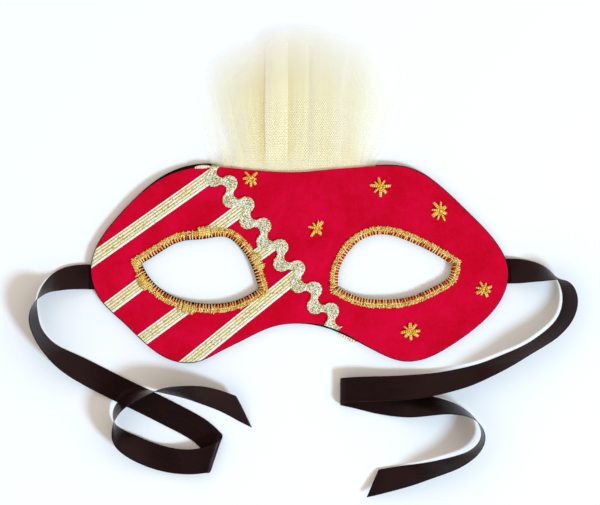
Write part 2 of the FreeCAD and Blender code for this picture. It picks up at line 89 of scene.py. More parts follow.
# Points of the edge where the lining was cut fuller, and by how much.
FULL_POINTS = {30: 0.8, 31: 1.3, 32: 0.9, 15: 0.3, 16: 0.7}
RIGHT_EYE = (
    [(19, -20.8), (19.3, -13), (23.4, -3.6), (32, 4.6), (42.5, 6.9), (55.5, 3.4),
     (67.5, -2.3), (77.8, -8.6)],
    [(77.8, -8.6), (76.4, -15), (69, -20.2), (57.5, -25.4), (43, -27.3), (30, -26.0), (19, -20.8)],
)
LEFT_EYE = (
    [(-81.4, -8.1), (-72, -2.3), (-60.5, 3.7), (-48, 5.1), (-37.5, 6.0), (-30.6, 1.6),
     (-24.4, -7.2), (-19.7, -21.5)],
    [(-19.7, -21.5), (-29.5, -27.1), (-44.5, -29.8), (-58.5, -28.0), (-70, -22.8),
     (-77.5, -15.3), (-81.4, -8.1)],
)

# Stripes: a point on the middle line, the slope in degrees, and for each piece a run
# along the slope that lies inside it.
STRIPES = [
    ((-75.6, 14.4), 35.2, [("stripe_1", 0)]),
    ((-61.0, -4.2), 36.6, [("stripe_2_lower", -33), ("stripe_2_upper", 31)]),
    ((-41.0, -18.6), 36.2, [("stripe_3_lower", -36), ("stripe_3_upper", 27)]),
    ((-30.5, -37.6), 38.9, [("stripe_4", 0)]),
]
STRIPE_CLEAR = 2.6                   # from an eye hole to a stripe's end, under the stitching
STRIPE_TURN = 0.0014                 # how far a stripe goes on past the panel's edge, in metres
BRAID_MIDDLE = (-13.1, 0.2)
BRAID_HEADING = -51.45
BRAID_WAVE = 13.75
BRAID_SWING = 3.1
BRAID_PHASE = 2.2
BRAID_BROAD_SHARE = 0.57
BRAID_SPAN = (-8.15, 7.3)            # in half waves from the phase
BRAID_FOLD = 0.0007                  # radius where it is turned over an edge, in metres
BRAID_TAIL = ((19.8, -42.0), (29.5, -47.6))
BRAID_HEAD = ((-53.4, 40.9), (-45.0, 40.6))

# Stars: centre, then each arm's tip from the centre and how many threads it has.
STARS = {
    "star_brow_middle": ((-24.6, 35.0), [(-3.1, 3.2, 2), (3.3, 2.9, 3), (-4.3, -0.5, 3), (-2.7, -3.1, 3),
                                         (-0.2, -4.6, 3), (2.6, -3.6, 3), (2.7, -0.8, 2), (1.6, 0.9, 2)]),
    "star_nose_bridge": ((8.6, 9.4), [(3.2, 3.6, 4), (1.0, 4.4, 1), (-1.9, 2.9, 2), (-4.5, 0.9, 2),
                                      (-2.8, -4.2, 3), (-0.2, -2.6, 1), (2.4, -3.2, 4), (2.9, 0.1, 2)]),
    "star_brow_right": ((41.0, 30.6), [(-5.8, 0.7, 3), (-1.0, 4.9, 3), (2.3, 3.3, 2), (5.3, 0.4, 3),
                                       (3.0, -3.4, 3), (-0.2, -5.4, 3), (-3.3, -3.0, 2), (-3.4, 2.6, 2)]),
    "star_temple": ((71.3, 18.5), [(-3.7, 4.2, 3), (0.2, 4.7, 2), (3.0, 2.1, 4), (3.2, -1.8, 3),
                                   (2.5, -5.5, 2), (-1.5, -4.8, 2), (-4.2, -3.0, 4), (-4.5, 0.3, 2)]),
    "star_cheek_side": ((93.5, -21.4), [(-2.2, 3.9, 2), (1.0, 3.5, 2), (4.0, 1.5, 3), (3.4, -1.5, 3),
                                        (1.7, -4.0, 3), (-1.7, -3.2, 2), (-4.3, -2.1, 4), (-4.4, 0.9, 2)]),
    "star_cheek": ((56.0, -42.6), [(-0.1, 4.4, 3), (3.2, 3.5, 3), (5.3, 0.1, 3), (4.4, -2.8, 3),
                                   (0.5, -4.7, 3), (-2.8, -3.1, 3), (-4.9, -0.8, 3), (-3.4, 2.6, 2)]),
}
# Where a stripe meets the eye stitching, the thread was worked over it thickly.
THICK_SPOTS = [(-48.1, 6.6), (-78.0, -17.0), (-57.0, -30.6), (-22.6, -8.0)]
# In metres: middle of the stitching from the cut edge, length over which its direction
# turns at a corner, a thick spot's reach, and how far off it belongs to the other eye.
STITCH_MIDDLE, STITCH_TURN, SPOT_REACH, SPOT_FAR = 0.0023, 0.0022, 0.0036, 0.006

CUT_REACH = 0.022                    # how much of a ribbon's end is stretched by its slanted cut
LEFT_CUT, RIGHT_CUT = -48, -36       # slants of the cuts, in degrees
# Tie ribbons, in metres. Each row: distance out from where the ribbon leaves the mask, y,
# height of the lower edge, then the direction across it as heading and lean in degrees.
LEFT_RIBBON = [
    (0.0000, -0.0152, 0.0014, -90, 0), (0.0084, -0.0150, 0.0010, -90, 20),
    (0.0166, -0.0172, 0.0008, -75, 42), (0.0226, -0.0214, 0.0008, -35, 66),
    (0.0268, -0.0270, 0.0008, 0, 88), (0.0282, -0.0344, 0.0008, 180, 72),
    (0.0264, -0.0426, 0.0008, 195, 73), (0.0206, -0.0510, 0.0007, 215, 62),
    (0.0114, -0.0580, 0.0006, 230, 38), (-0.0004, -0.0648, 0.0005, 238, 12),
    (-0.0135, -0.0716, 0.0004, 240, 0), (-0.0270, -0.0780, 0.0004, 242, 0),
    (-0.0395, -0.0843, 0.0004, 240, 0), (-0.0496, -0.0894, 0.0004, 236, 0),
    (-0.0583, -0.0946, 0.0004, 234, 0), (-0.0651, -0.1029, 0.0005, 250, 0),
    (-0.0641, -0.1063, 0.0060, 253, 0), (-0.0541, -0.1089, 0.0048, 264, 0),
    (-0.0436, -0.1087, 0.0026, 268, 2), (-0.0340, -0.1066, 0.0014, 258, 8),
    (-0.0240, -0.1024, 0.0014, 245, 22), (-0.0156, -0.0970, 0.0014, 220, 45),
    (-0.0122, -0.0898, 0.0016, 90, 88), (-0.0140, -0.0822, 0.0020, -10, 66),
    (-0.0198, -0.0766, 0.0026, -45, 64), (-0.0284, -0.0734, 0.0026, -60, 75),
    (-0.0382, -0.0724, 0.0018, 90, 74), (-0.0486, -0.0733, 0.0010, 87, 56),
    (-0.0588, -0.0752, 0.0006, 75, 40), (-0.0686, -0.0784, 0.0005, 68, 32),
    (-0.0786, -0.0834, 0.0004, 64, 24),
]
RIGHT_RIBBON = [
    (0.0000, -0.0122, 0.0014, -90, 0), (0.0084, -0.0122, 0.0010, -90, 26),
    (0.0162, -0.0128, 0.0010, -85, 50), (0.0229, -0.0146, 0.0011, -65, 78),
    (0.0282, -0.0190, 0.0012, 28, 68), (0.0306, -0.0264, 0.0013, 5, 58),
    (0.0288, -0.0348, 0.0013, -20, 58), (0.0232, -0.0420, 0.0013, -43, 64),
    (0.0150, -0.0482, 0.0013, -52, 68), (0.0046, -0.0540, 0.0013, -60, 66),
    (-0.0074, -0.0602, 0.0014, -66, 56), (-0.0206, -0.0654, 0.0016, -73, 45),
    (-0.0346, -0.0689, 0.0022, -82, 32), (-0.0486, -0.0709, 0.0034, -86, 18),
    (-0.0620, -0.0716, 0.0048, -89, 8), (-0.0758, -0.0719, 0.0058, -90, 0),
    (-0.0856, -0.0725, 0.0058, -90, 0), (-0.0864, -0.0738, 0.0010, -90, 0),
    (-0.0776, -0.0756, 0.0006, -92, 0), (-0.0664, -0.0786, 0.0005, -98, 0),
    (-0.0530, -0.0804, 0.0005, -92, 12), (-0.0408, -0.0802, 0.0008, -90, 42),
    (-0.0298, -0.0810, 0.0014, -88, 64), (-0.0210, -0.0840, 0.0020, -70, 80),
    (-0.0154, -0.0894, 0.0024, -30, 88), (-0.0134, -0.0962, 0.0026, -10, 86),
    (-0.0168, -0.1028, 0.0024, -35, 78), (-0.0244, -0.1076, 0.0020, -60, 68),
    (-0.0350, -0.1114, 0.0015, -72, 60), (-0.0472, -0.1146, 0.0010, -76, 45),
    (-0.0590, -0.1174, 0.0006, -77, 28), (-0.0696, -0.1198, 0.0012, -77, 12),
]
RIBBON_LEVEL = (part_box("ribbon_tab_right")[0][2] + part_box("ribbon_tab_right")[1][2]) / 2
RIGHT_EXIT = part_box("ribbon_tab_right")[1][0]
LEFT_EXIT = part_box("ribbon_tab_left")[0][0]

# Stage, in metres: the width seen at the table, and a table just under the lining.
CAMERA_HEIGHT, VIEW_WIDTH = 1.2, 0.3048
TABLE_REACH, TABLE_LEVEL = 3.0, -0.0001

# --- curves and grids -------------------------------------------------------------------


def spline_through(points, samples, loop):
    """A cubic spline through points, whose parameter is the chord length: between two
    points it is the cubic whose second derivatives join, found from one linear system;
    an open one has none at its ends. Returned as evenly sampled points."""
    points = np.asarray(points, float)
    if loop:
        points = closed(points)
    knots = run_along(points)
    span = np.diff(knots)
    slope = np.diff(points, axis=0) / span[:, None]
    count = len(points)
    system = np.eye(count)
    right = np.zeros_like(points)
    inner = np.arange(1, count - 1)
    system[inner, inner - 1] = span[:-1]
    system[inner, inner] = 2 * (span[:-1] + span[1:])
    system[inner, inner + 1] = span[1:]
    right[1:-1] = 6 * np.diff(slope, axis=0)
    if loop:
        system[0, [0, 1, -2, -1]] = [2 * span[0], span[0], span[-1], 2 * span[-1]]
        right[0] = 6 * (slope[0] - slope[-1])
        system[-1, [0, -1]] = [1, -1]
    bend = np.linalg.solve(system, right)
    where = np.linspace(0, knots[-1], samples, endpoint=not loop)
    cell = np.clip(np.searchsorted(knots, where, side="right") - 1, 0, count - 2)
    width = span[cell][:, None]
    after = (where - knots[cell])[:, None] / width
    before = 1 - after
    return (before * points[cell] + after * points[cell + 1]
            + ((before**3 - before) * bend[cell] + (after**3 - after) * bend[cell + 1]) * width**2 / 6)


def unit(vectors):
    """Vectors divided by their lengths."""
    return vectors / np.maximum(np.linalg.norm(vectors, axis=-1, keepdims=True), 1e-12)


def outward(loop):
    """The direction square to a clockwise loop at each of its points, away from what it
    encloses: the chord of its two neighbours, turned a quarter left."""
    along = np.roll(loop, -1, axis=0) - np.roll(loop, 1, axis=0)
    return unit(np.stack([-along[:, 1], along[:, 0]], axis=1))


def run_along(points):
    """How far each point is along its line: the distances between neighbours, added up.
    Points are the last axis but one."""
    steps = np.cumsum(np.linalg.norm(np.diff(points, axis=-2), axis=-1), axis=-1)
    return np.concatenate([np.zeros((*steps.shape[:-1], 1)), steps], -1)


def between(where, run, values):
    """Rows of values at places along a run, in straight proportion."""
    return np.stack([np.interp(where, run, column) for column in values.T], -1)


def slanted(degrees):
    """The directions along a slope and square to it, to its left."""
    slope = math.radians(degrees)
    along = np.array([math.cos(slope), math.sin(slope)])
    return along, np.array([-along[1], along[0]])


def eased(value):
    """A value clamped from 0 to 1 that starts and stops gently: three squares less two
    cubes."""
    value = np.clip(value, 0, 1)
    return value * value * (3 - 2 * value)


def at_height(flat, height):
    """Flat points, raised to a height."""
    return np.concatenate([flat, np.broadcast_to(height, flat.shape[:-1])[..., None]], -1)


def closed(loop):
    """A loop with its first row again at its end."""
    return np.vstack([loop, loop[:1]])


def even_loop(loop, samples):
    """A closed loop, sampled again at equal distances."""
    ring = closed(loop)
    run = run_along(ring)
    return between(np.linspace(0, run[-1], samples, endpoint=False), run, ring)


def front_outline(samples=420):
    """The front panel's cut edge, in metres."""
    return even_loop(spline_through(FRONT_EDGE, FINE, True), samples) * MM


def lining_outline(samples=420):
    """The lining's cut edge: the front's points moved outwards by the seam allowance, and
    further where the lining was cut full."""
    points = np.array(FRONT_EDGE, float)
    margin = SEAM_ALLOWANCE + np.array([FULL_POINTS.get(index, 0.0) for index in range(len(points))])
    return even_loop(spline_through(points + outward(points) * margin[:, None], FINE, True), samples) * MM


def eye_outline(lids, samples=360, distance=0.0):
    """An eye hole's cut edge, two smooth lids that meet in two corners, moved outwards by
    a distance in millimetres."""
    loop = even_loop(np.vstack([spline_through(lid, 400, False)[:-1] for lid in lids]), samples)
    return (loop + outward(loop) * distance) * MM


class Patch:
    """A piece of surface on its way into a mesh: vertices, quads, and one UV pair and one
    tone per vertex."""

    def __init__(self, points, quads, uv, tone=0.5):
        self.points = np.asarray(points, float).reshape(-1, 3)
        self.quads = np.asarray(quads, int).reshape(-1, 4)
        self.uv = np.asarray(uv, float).reshape(-1, 2)
        self.tone = np.broadcast_to(np.asarray(tone, float), len(self.points))


def grid_quads(rows, columns, closed_rows=False, closed_columns=False):
    """Quads of a grid whose vertex number is row times columns plus column."""
    row = np.arange(rows if closed_rows else rows - 1)[:, None]
    column = np.arange(columns if closed_columns else columns - 1)[None, :]
    later_row, later_column = (row + 1) % rows, (column + 1) % columns
    corners = [row * columns + column, row * columns + later_column,
               later_row * columns + later_column, later_row * columns + column]
    return np.stack(np.broadcast_arrays(*corners), -1).reshape(-1, 4)


def grid_patch(points, uv, tone=0.5, **joined):
    """A patch from points laid out as rows by columns."""
    return Patch(points, grid_quads(*points.shape[:2], **joined), uv, tone)


def facing_up(patch):
    """The patch, turned over if the cross products of its quads' diagonals add up to a
    direction that points down."""
    corners = patch.points[patch.quads]
    normals = np.cross(corners[:, 2] - corners[:, 0], corners[:, 3] - corners[:, 1])
    if normals[:, 2].sum() < 0:
        patch.quads = patch.quads[:, ::-1]
    return patch


def store(mesh, name, values):
    """One value for each point of a mesh, kept as an attribute."""
    mesh.attributes.new(name, "FLOAT", "POINT").data.foreach_set("value", values)


def link(name, data):
    """A new object in the scene."""
    made = bpy.data.objects.new(name, data)
    bpy.context.scene.collection.objects.link(made)
    return made


def mesh_piece(name, patches, material):
    """One smooth-shaded object from patches, with their UVs and tones, in one material."""
    starts = np.cumsum([0] + [len(patch.points) for patch in patches])
    points = np.concatenate([patch.points for patch in patches])
    quads = np.concatenate([patch.quads + start for patch, start in zip(patches, starts)])
    mesh = bpy.data.meshes.new(name)
    mesh.vertices.add(len(points))
    mesh.vertices.foreach_set("co", points.ravel())
    mesh.loops.add(quads.size)
    mesh.loops.foreach_set("vertex_index", quads.ravel())
    mesh.polygons.add(len(quads))
    mesh.polygons.foreach_set("loop_start", np.arange(0, quads.size, 4))
    mesh.materials.append(material)
    mesh.polygons.foreach_set("use_smooth", np.full(len(quads), True))
    uv = np.concatenate([patch.uv for patch in patches])
    mesh.uv_layers.new(name="UVMap").uv.foreach_set("vector", uv[quads.ravel()].ravel())
    store(mesh, "tone", np.concatenate([patch.tone for patch in patches]))
    mesh.update(calc_edges=True)
    mesh.validate()
    return link(name, mesh)


def threads(paths, sideways, half_width, half_height, sides, tone):
    """Closed tubes along many paths at once: round each point of a path stands an ellipse,
    half width times the cosine along the sideways vector plus half height times the sine
    along the direction square to it and to the path. Both ends shrink to a tip."""
    count, steps = paths.shape[:2]
    along = unit(np.gradient(paths, axis=1))
    sideways = np.broadcast_to(sideways, paths.shape)
    sideways = unit(sideways - along * (sideways * along).sum(-1, keepdims=True))
    upwards = np.cross(along, sideways)
    turn = np.arange(sides) * 2 * math.pi / sides
    closing = np.ones(steps)
    closing[[0, -1]] = TIP_SHARE
    width = (np.broadcast_to(half_width, (count, steps)) * closing)[..., None, None]
    height = (np.broadcast_to(half_height, (count, steps)) * closing)[..., None, None]
    ring = (width * np.cos(turn)[:, None] * sideways[:, :, None, :]
            + height * np.sin(turn)[:, None] * upwards[:, :, None, :])
    points = paths[:, :, None, :] + ring
    one = grid_quads(steps, sides, closed_columns=True)
    quads = (np.arange(count) * steps * sides)[:, None, None] + one
    uv = np.stack(np.broadcast_arrays(run_along(paths)[:, :, None], turn / (2 * math.pi)), axis=-1)
    tones = np.broadcast_to(tone.reshape(count, -1)[:, :, None], (count, steps, sides)).ravel()
    return Patch(points, quads, uv, tones)


def folded_over(points, outline, radius, deepest):
    """Points that lie past the cut edge, laid over it: a point that is further out than
    the edge goes round a quarter circle of that radius and then straight down, as far as
    it was out. None goes lower than the deepest height."""
    flat = points[..., :2].reshape(-1, 2)
    normals = outward(outline)
    nearest = ((flat[:, None, :] - outline[None]) ** 2).sum(-1).argmin(1)
    out = ((flat - outline[nearest]) * normals[nearest]).sum(-1) + radius
    angle = np.clip(out / radius, 0, math.pi / 2)
    past = np.maximum(out - radius * math.pi / 2, 0)
    moved = flat + normals[nearest] * (radius * np.sin(angle) - np.maximum(out, 0))[:, None]
    drop = radius * (1 - np.cos(angle)) + past
    height = points[..., 2].reshape(-1)
    height = np.where(out > 0, np.maximum(height - drop, deepest), height)
    return at_height(moved, height).reshape(points.shape)


# --- materials --------------------------------------------------------------------------


def socket(tree, node_type, inputs, output=0, **settings):
    """One node with its settings and inputs, each a value or another node's output.
    Returns one of its outputs."""
    node = tree.nodes.new(node_type)
    for key, value in settings.items():
        setattr(node, key, value)
    for key, value in inputs.items():
        if isinstance(value, bpy.types.NodeSocket):
            tree.links.new(value, node.inputs[key])
        else:
            node.inputs[key].default_value = value
    return node.outputs[output]


def maths(tree, operation, one, two=0.0, three=0.0):
    """A Math node's result."""
    return socket(tree, "ShaderNodeMath", {0: one, 1: two, 2: three}, operation=operation)


def mixed(tree, share, one, two):
    """Two colours mixed by a share."""
    return socket(tree, "ShaderNodeMix", {0: share, 6: one, 7: two}, output=2, data_type="RGBA")


def stretched(tree, value, low, high, to_low=0.0, to_high=1.0):
    """A value's range from low to high, stretched to another range and clamped."""
    return socket(tree, "ShaderNodeMapRange", {0: value, 1: low, 2: high, 3: to_low, 4: to_high})


def noise(tree, vector, scale, detail=2.0, roughness=0.5):
    """A noise from 0 to 1 at a scale per metre."""
    return socket(tree, "ShaderNodeTexNoise",
                  {"Vector": vector, "Scale": scale, "Detail": detail, "Roughness": roughness})


def moved_vector(tree, vector, scale=(1, 1, 1), rotation=(0, 0, 0)):
    """A vector scaled and turned by a Mapping node."""
    return socket(tree, "ShaderNodeMapping", {"Vector": vector, "Scale": scale, "Rotation": rotation})


def new_group(name, inputs, outputs):
    """A shader node group with named sockets: its tree, its inputs by name, and its
    output node."""
    group = bpy.data.node_groups.new(name, "ShaderNodeTree")
    for label, kind, default in inputs:
        made = group.interface.new_socket(name=label, in_out="INPUT", socket_type="NodeSocket" + kind)
        if default is not None:
            made.default_value = default
    for label, kind in outputs:
        group.interface.new_socket(name=label, in_out="OUTPUT", socket_type="NodeSocket" + kind)
    entry = group.nodes.new("NodeGroupInput")
    return group, {item.name: item for item in entry.outputs if item.name}, group.nodes.new("NodeGroupOutput")


def felt_group():
    """Napped felt: a cloudy colour from two wide noises, fine fibres from a noise drawn out
    one way and one drawn out the other, and a height from the fibres."""
    group, given, result = new_group(
        "Napped Felt",
        [("Vector", "Vector", None), ("Colour", "Color", (0.6, 0, 0.03, 1)),
         ("Deep Colour", "Color", (0.4, 0, 0.02, 1)), ("Pale Colour", "Color", (0.8, 0.02, 0.08, 1)),
         ("Fibres per Metre", "Float", 1400.0)],
        [("Color", "Color"), ("Height", "Float")])
    tree = group
    cloud = noise(tree, given["Vector"], 55.0, 3.0, 0.6)
    patchy = noise(tree, given["Vector"], 260.0, 3.0, 0.65)
    lengthways = noise(tree, moved_vector(tree, given["Vector"], (1, 0.22, 1), (0, 0, 0.5)),
                       given["Fibres per Metre"], 3.0, 0.7)
    crossways = noise(tree, moved_vector(tree, given["Vector"], (0.25, 1, 1), (0, 0, -0.3)),
                      given["Fibres per Metre"], 3.0, 0.7)
    fibres = maths(tree, "MULTIPLY", maths(tree, "ADD", lengthways, crossways), 0.5)
    base = mixed(tree, stretched(tree, cloud, 0.35, 0.65), given["Deep Colour"], given["Colour"])
    base = mixed(tree, stretched(tree, patchy, 0.4, 0.75, 0.0, 0.4), base, given["Deep Colour"])
    base = mixed(tree, stretched(tree, fibres, 0.5, 0.7, 0.0, 0.6), base, given["Pale Colour"])
    tree.links.new(base, result.inputs["Color"])
    height = maths(tree, "MULTIPLY_ADD", patchy, 0.6, fibres)
    tree.links.new(height, result.inputs["Height"])
    return group


def thread_group():
    """Twisted metallic thread: the tone picks a colour from shade through gold to pale, and
    ridges run round the thread, as along times the twist plus the share of a turn round.
    Low tones are painted shade; high tones are partly painted highlight and partly the
    thread's own paler colour. The grooves between the ridges are painted in the shade
    colour, and the flecks, as strong as the sparkle, are painted glints in the pale colour
    and painted dark specks in the shade colour."""
    group, given, result = new_group(
        "Twisted Thread",
        [("UV", "Vector", None), ("Tone", "Float", 0.5), ("Shade", "Color", (0.2, 0.1, 0.02, 1)),
         ("Gold", "Color", (0.7, 0.4, 0.05, 1)), ("Pale", "Color", (1, 0.9, 0.5, 1)),
         ("Twists per Metre", "Float", 1500.0), ("Flecks per Metre", "Float", 1200.0),
         ("Sparkle", "Float", 0.5)],
        [("Color", "Color"), ("Height", "Float")])
    tree = group
    parts = tree.nodes.new("ShaderNodeSeparateXYZ")
    tree.links.new(given["UV"], parts.inputs[0])
    turns = maths(tree, "MULTIPLY_ADD", parts.outputs[0], given["Twists per Metre"], parts.outputs[1])
    ridge = maths(tree, "SINE", maths(tree, "MULTIPLY", turns, 2 * math.pi))
    ridge = stretched(tree, ridge, -1.0, 1.0)
    place = socket(tree, "ShaderNodeTexCoord", {}, output=3)
    fleck = noise(tree, place, given["Flecks per Metre"], 2.0)
    low = mixed(tree, stretched(tree, given["Tone"], 0.0, 0.5), given["Shade"], given["Gold"])
    colour = mixed(tree, stretched(tree, given["Tone"], 0.5, 1.0), low, given["Pale"])
    # painted shade in the grooves of the twist
    groove_painted_shade = mixed(tree, maths(tree, "MULTIPLY", ridge, 0.55), given["Shade"], colour)
    colour = mixed(tree, stretched(tree, ridge, 0.0, 0.5), groove_painted_shade, colour)
    # painted glints in the pale colour and painted dark specks in the shade colour, from the flecks
    bright = maths(tree, "MULTIPLY", stretched(tree, fleck, 0.52, 0.62), given["Sparkle"])
    dark = maths(tree, "MULTIPLY", stretched(tree, fleck, 0.46, 0.36), given["Sparkle"])
    colour = mixed(tree, bright, colour, given["Pale"])
    colour = mixed(tree, dark, colour, given["Shade"])
    tree.links.new(colour, result.inputs["Color"])
    tree.links.new(ridge, result.inputs["Height"])
    return group


def weave_group():
    """A fine plain weave: the height is the larger of two rounded ridges, warp and weft,
    each the sine of its own run, that take turns on top."""
    group, given, result = new_group(
        "Plain Weave",
        [("Vector", "Vector", None), ("Warps per Metre", "Float", 3000.0),
         ("Wefts per Metre", "Float", 2000.0)],
        [("Height", "Float")])
    tree = group
    parts = tree.nodes.new("ShaderNodeSeparateXYZ")
    tree.links.new(given["Vector"], parts.inputs[0])
    warp = maths(tree, "SINE", maths(tree, "MULTIPLY", parts.outputs[1],
                                     maths(tree, "MULTIPLY", given["Warps per Metre"], math.pi)))
    weft = maths(tree, "SINE", maths(tree, "MULTIPLY", parts.outputs[0],
                                     maths(tree, "MULTIPLY", given["Wefts per Metre"], math.pi)))
    height = maths(tree, "MAXIMUM", maths(tree, "ABSOLUTE", warp), maths(tree, "ABSOLUTE", weft))
    tree.links.new(height, result.inputs["Height"])
    return group


def net_group():
    """A fine diamond net: two families of threads cross at a slant, each a narrow band
    about the middle of its own cells, with bright and dark flecks along them."""
    group, given, result = new_group(
        "Fine Net",
        [("UV", "Vector", None), ("Cell", "Float", 0.0009), ("Thread Share", "Float", 0.22)],
        [("Mask", "Float"), ("Fleck", "Float"), ("Streak", "Float")])
    tree = group
    parts = tree.nodes.new("ShaderNodeSeparateXYZ")
    tree.links.new(given["UV"], parts.inputs[0])
    wobble = noise(tree, given["UV"], 350.0, 1.0)
    across = maths(tree, "MULTIPLY_ADD", wobble, 0.0005, parts.outputs[0])
    lines = []
    for slant in (0.58, -0.58):
        slanting = maths(tree, "MULTIPLY_ADD", parts.outputs[1], slant, across)
        run = maths(tree, "DIVIDE", slanting, given["Cell"])
        away = maths(tree, "ABSOLUTE", maths(tree, "SUBTRACT", maths(tree, "FRACT", run), 0.5))
        lines.append(maths(tree, "LESS_THAN", away, maths(tree, "MULTIPLY", given["Thread Share"], 0.5)))
    tree.links.new(maths(tree, "MAXIMUM", *lines), result.inputs["Mask"])
    tree.links.new(noise(tree, given["UV"], 1900.0, 1.0), result.inputs["Fleck"])
    streak = noise(tree, moved_vector(tree, given["UV"], (1, 0.05, 1)), 420.0, 2.0)
    tree.links.new(streak, result.inputs["Streak"])
    return group


GROUPS = {}


def placed_group(tree, maker, **values):
    """A shared group, made once, placed in a material with its own values. Underscores in
    a value's name stand for spaces."""
    if maker not in GROUPS:
        GROUPS[maker] = maker()
    node = tree.nodes.new("ShaderNodeGroup")
    node.node_tree = GROUPS[maker]
    for label, value in values.items():
        target = node.inputs[label.replace("_", " ")]
        if isinstance(value, bpy.types.NodeSocket):
            tree.links.new(value, target)
        else:
            target.default_value = value
    return node.outputs


def new_material(name, **plain):
    """A material with one Principled shader, whose plain sockets are set by name. Returns
    the material, its tree and the shader."""
    material = bpy.data.materials.new(name)
    material.use_nodes = True
    shader = material.node_tree.nodes["Principled BSDF"]
    for label, value in plain.items():
        shader.inputs[label.replace("_", " ")].default_value = value
    return material, material.node_tree, shader


def bump(tree, shader, height, strength, distance):
    """A bump from a height, on a shader's normal."""
    normal = socket(tree, "ShaderNodeBump", {"Strength": strength, "Distance": distance, "Height": height})
    tree.links.new(normal, shader.inputs["Normal"])


def object_place(tree):
    """Object coordinates."""
    return socket(tree, "ShaderNodeTexCoord", {}, output=3)


def own_uv(tree):
    """The piece's own UV map, in metres along the cloth."""
    return socket(tree, "ShaderNodeUVMap", {}, uv_map="UVMap")


def tone_of(tree):
    """The tone stored on the piece's points."""
    return socket(tree, "ShaderNodeAttribute", {}, output=2, attribute_name="tone")


def colour4(values):
    """A colour with full alpha."""
    return (*values, 1.0)


def felt_material(name, base, deep, pale, sheen):
    """Napped felt in three close colours."""
    material, tree, shader = new_material(name, Roughness=0.95, Sheen_Weight=sheen, Sheen_Roughness=0.6,
                                          Sheen_Tint=colour4(pale), Specular_IOR_Level=0.06)
    felt = placed_group(tree, felt_group, Vector=object_place(tree), Colour=colour4(base),
                        Deep_Colour=colour4(deep), Pale_Colour=colour4(pale))
    tree.links.new(felt["Color"], shader.inputs["Base Color"])
    bump(tree, shader, felt["Height"], 0.55, 0.00035)
    return material


def thread_material(name, shade, gold, pale, roughness, twists, flecks, sparkle):
    """Metallic thread, coloured by tone."""
    material, tree, shader = new_material(name, Metallic=0.05, Roughness=roughness)
    thread = placed_group(tree, thread_group, UV=own_uv(tree), Tone=tone_of(tree), Shade=colour4(shade),
                          Gold=colour4(gold), Pale=colour4(pale), Twists_per_Metre=twists,
                          Flecks_per_Metre=flecks, Sparkle=sparkle)
    tree.links.new(thread["Color"], shader.inputs["Base Color"])
    bump(tree, shader, thread["Height"], 0.5, 0.00008)
    return material


def satin_material(name, colour, place):
    """Black satin: glossy, with a roughness drawn out one way and a fine weave. The colour
    is a little lighter in soft clouds."""
    material, tree, shader = new_material(name, Roughness=0.3, Specular_IOR_Level=0.19,
                                          Specular_Tint=(1.0, 0.66, 0.68, 1.0))
    vector = place(tree)
    cloud = noise(tree, vector, 90.0, 2.0)
    tree.links.new(mixed(tree, cloud, colour4(colour), colour4([value * 1.7 for value in colour])),
                   shader.inputs["Base Color"])
    brushed = noise(tree, moved_vector(tree, vector, (0.3, 1, 1)), 500.0)
    tree.links.new(stretched(tree, brushed, 0.3, 0.7, 0.24, 0.34), shader.inputs["Roughness"])
    weave = placed_group(tree, weave_group, Vector=vector, Warps_per_Metre=5200.0, Wefts_per_Metre=2600.0)
    bump(tree, shader, weave["Height"], 0.25, 0.00003)
    return material


def stripe_material(colours):
    """Metallic trim: a broad and a narrow white selvedge, and between them wrapped ribs in
    gold and olive. The UV's second value runs from -1 to 1 across; the grooves between the
    ribs are the crests of its cosine, and a slanted hatch is the sine of along plus
    across. The grooves and the dark flecks on the ribs are painted shade in the shade colour."""
    material, tree, shader = new_material("metallic_trim", Metallic=0.1, Roughness=0.34)
    parts = tree.nodes.new("ShaderNodeSeparateXYZ")
    tree.links.new(own_uv(tree), parts.inputs[0])
    run, side = parts.outputs[0], parts.outputs[1]
    selvedge = maths(tree, "MAXIMUM", stretched(tree, side, -0.62, -0.70), stretched(tree, side, 0.76, 0.82))
    wave = maths(tree, "COSINE", maths(tree, "MULTIPLY", maths(tree, "ADD", side, 0.60), 2 * math.pi / 0.44))
    groove = stretched(tree, wave, 0.25, 0.8)
    hatch = maths(tree, "SINE", maths(tree, "ADD", maths(tree, "MULTIPLY", run, 5600.0),
                                      maths(tree, "MULTIPLY", side, 22.0)))
    place = object_place(tree)
    fleck = noise(tree, place, 1000.0, 2.0)
    wide = noise(tree, place, 170.0, 1.0)
    ribbed = mixed(tree, stretched(tree, hatch, -0.3, 0.7), colour4(colours.trim_gold),
                   colour4(colours.trim_pale))
    ribbed = mixed(tree, stretched(tree, wide, 0.45, 0.65, 0.0, 0.45), ribbed, (1.0, 0.99, 0.92, 1.0))
    # painted dark specks, then painted shade in the grooves between the ribs
    ribbed = mixed(tree, stretched(tree, fleck, 0.46, 0.36, 0.0, 0.8), ribbed, colour4(colours.trim_shade))
    ribbed = mixed(tree, maths(tree, "MULTIPLY", groove, 0.8), ribbed, colour4(colours.trim_shade))
    edge = mixed(tree, stretched(tree, fleck, 0.42, 0.34), (1.0, 0.98, 0.90, 1.0), colour4(colours.trim_gold))
    tree.links.new(mixed(tree, selvedge, ribbed, edge), shader.inputs["Base Color"])
    height = maths(tree, "SUBTRACT", maths(tree, "MULTIPLY", hatch, 0.25), groove)
    bump(tree, shader, height, 0.6, 0.00012)
    return material


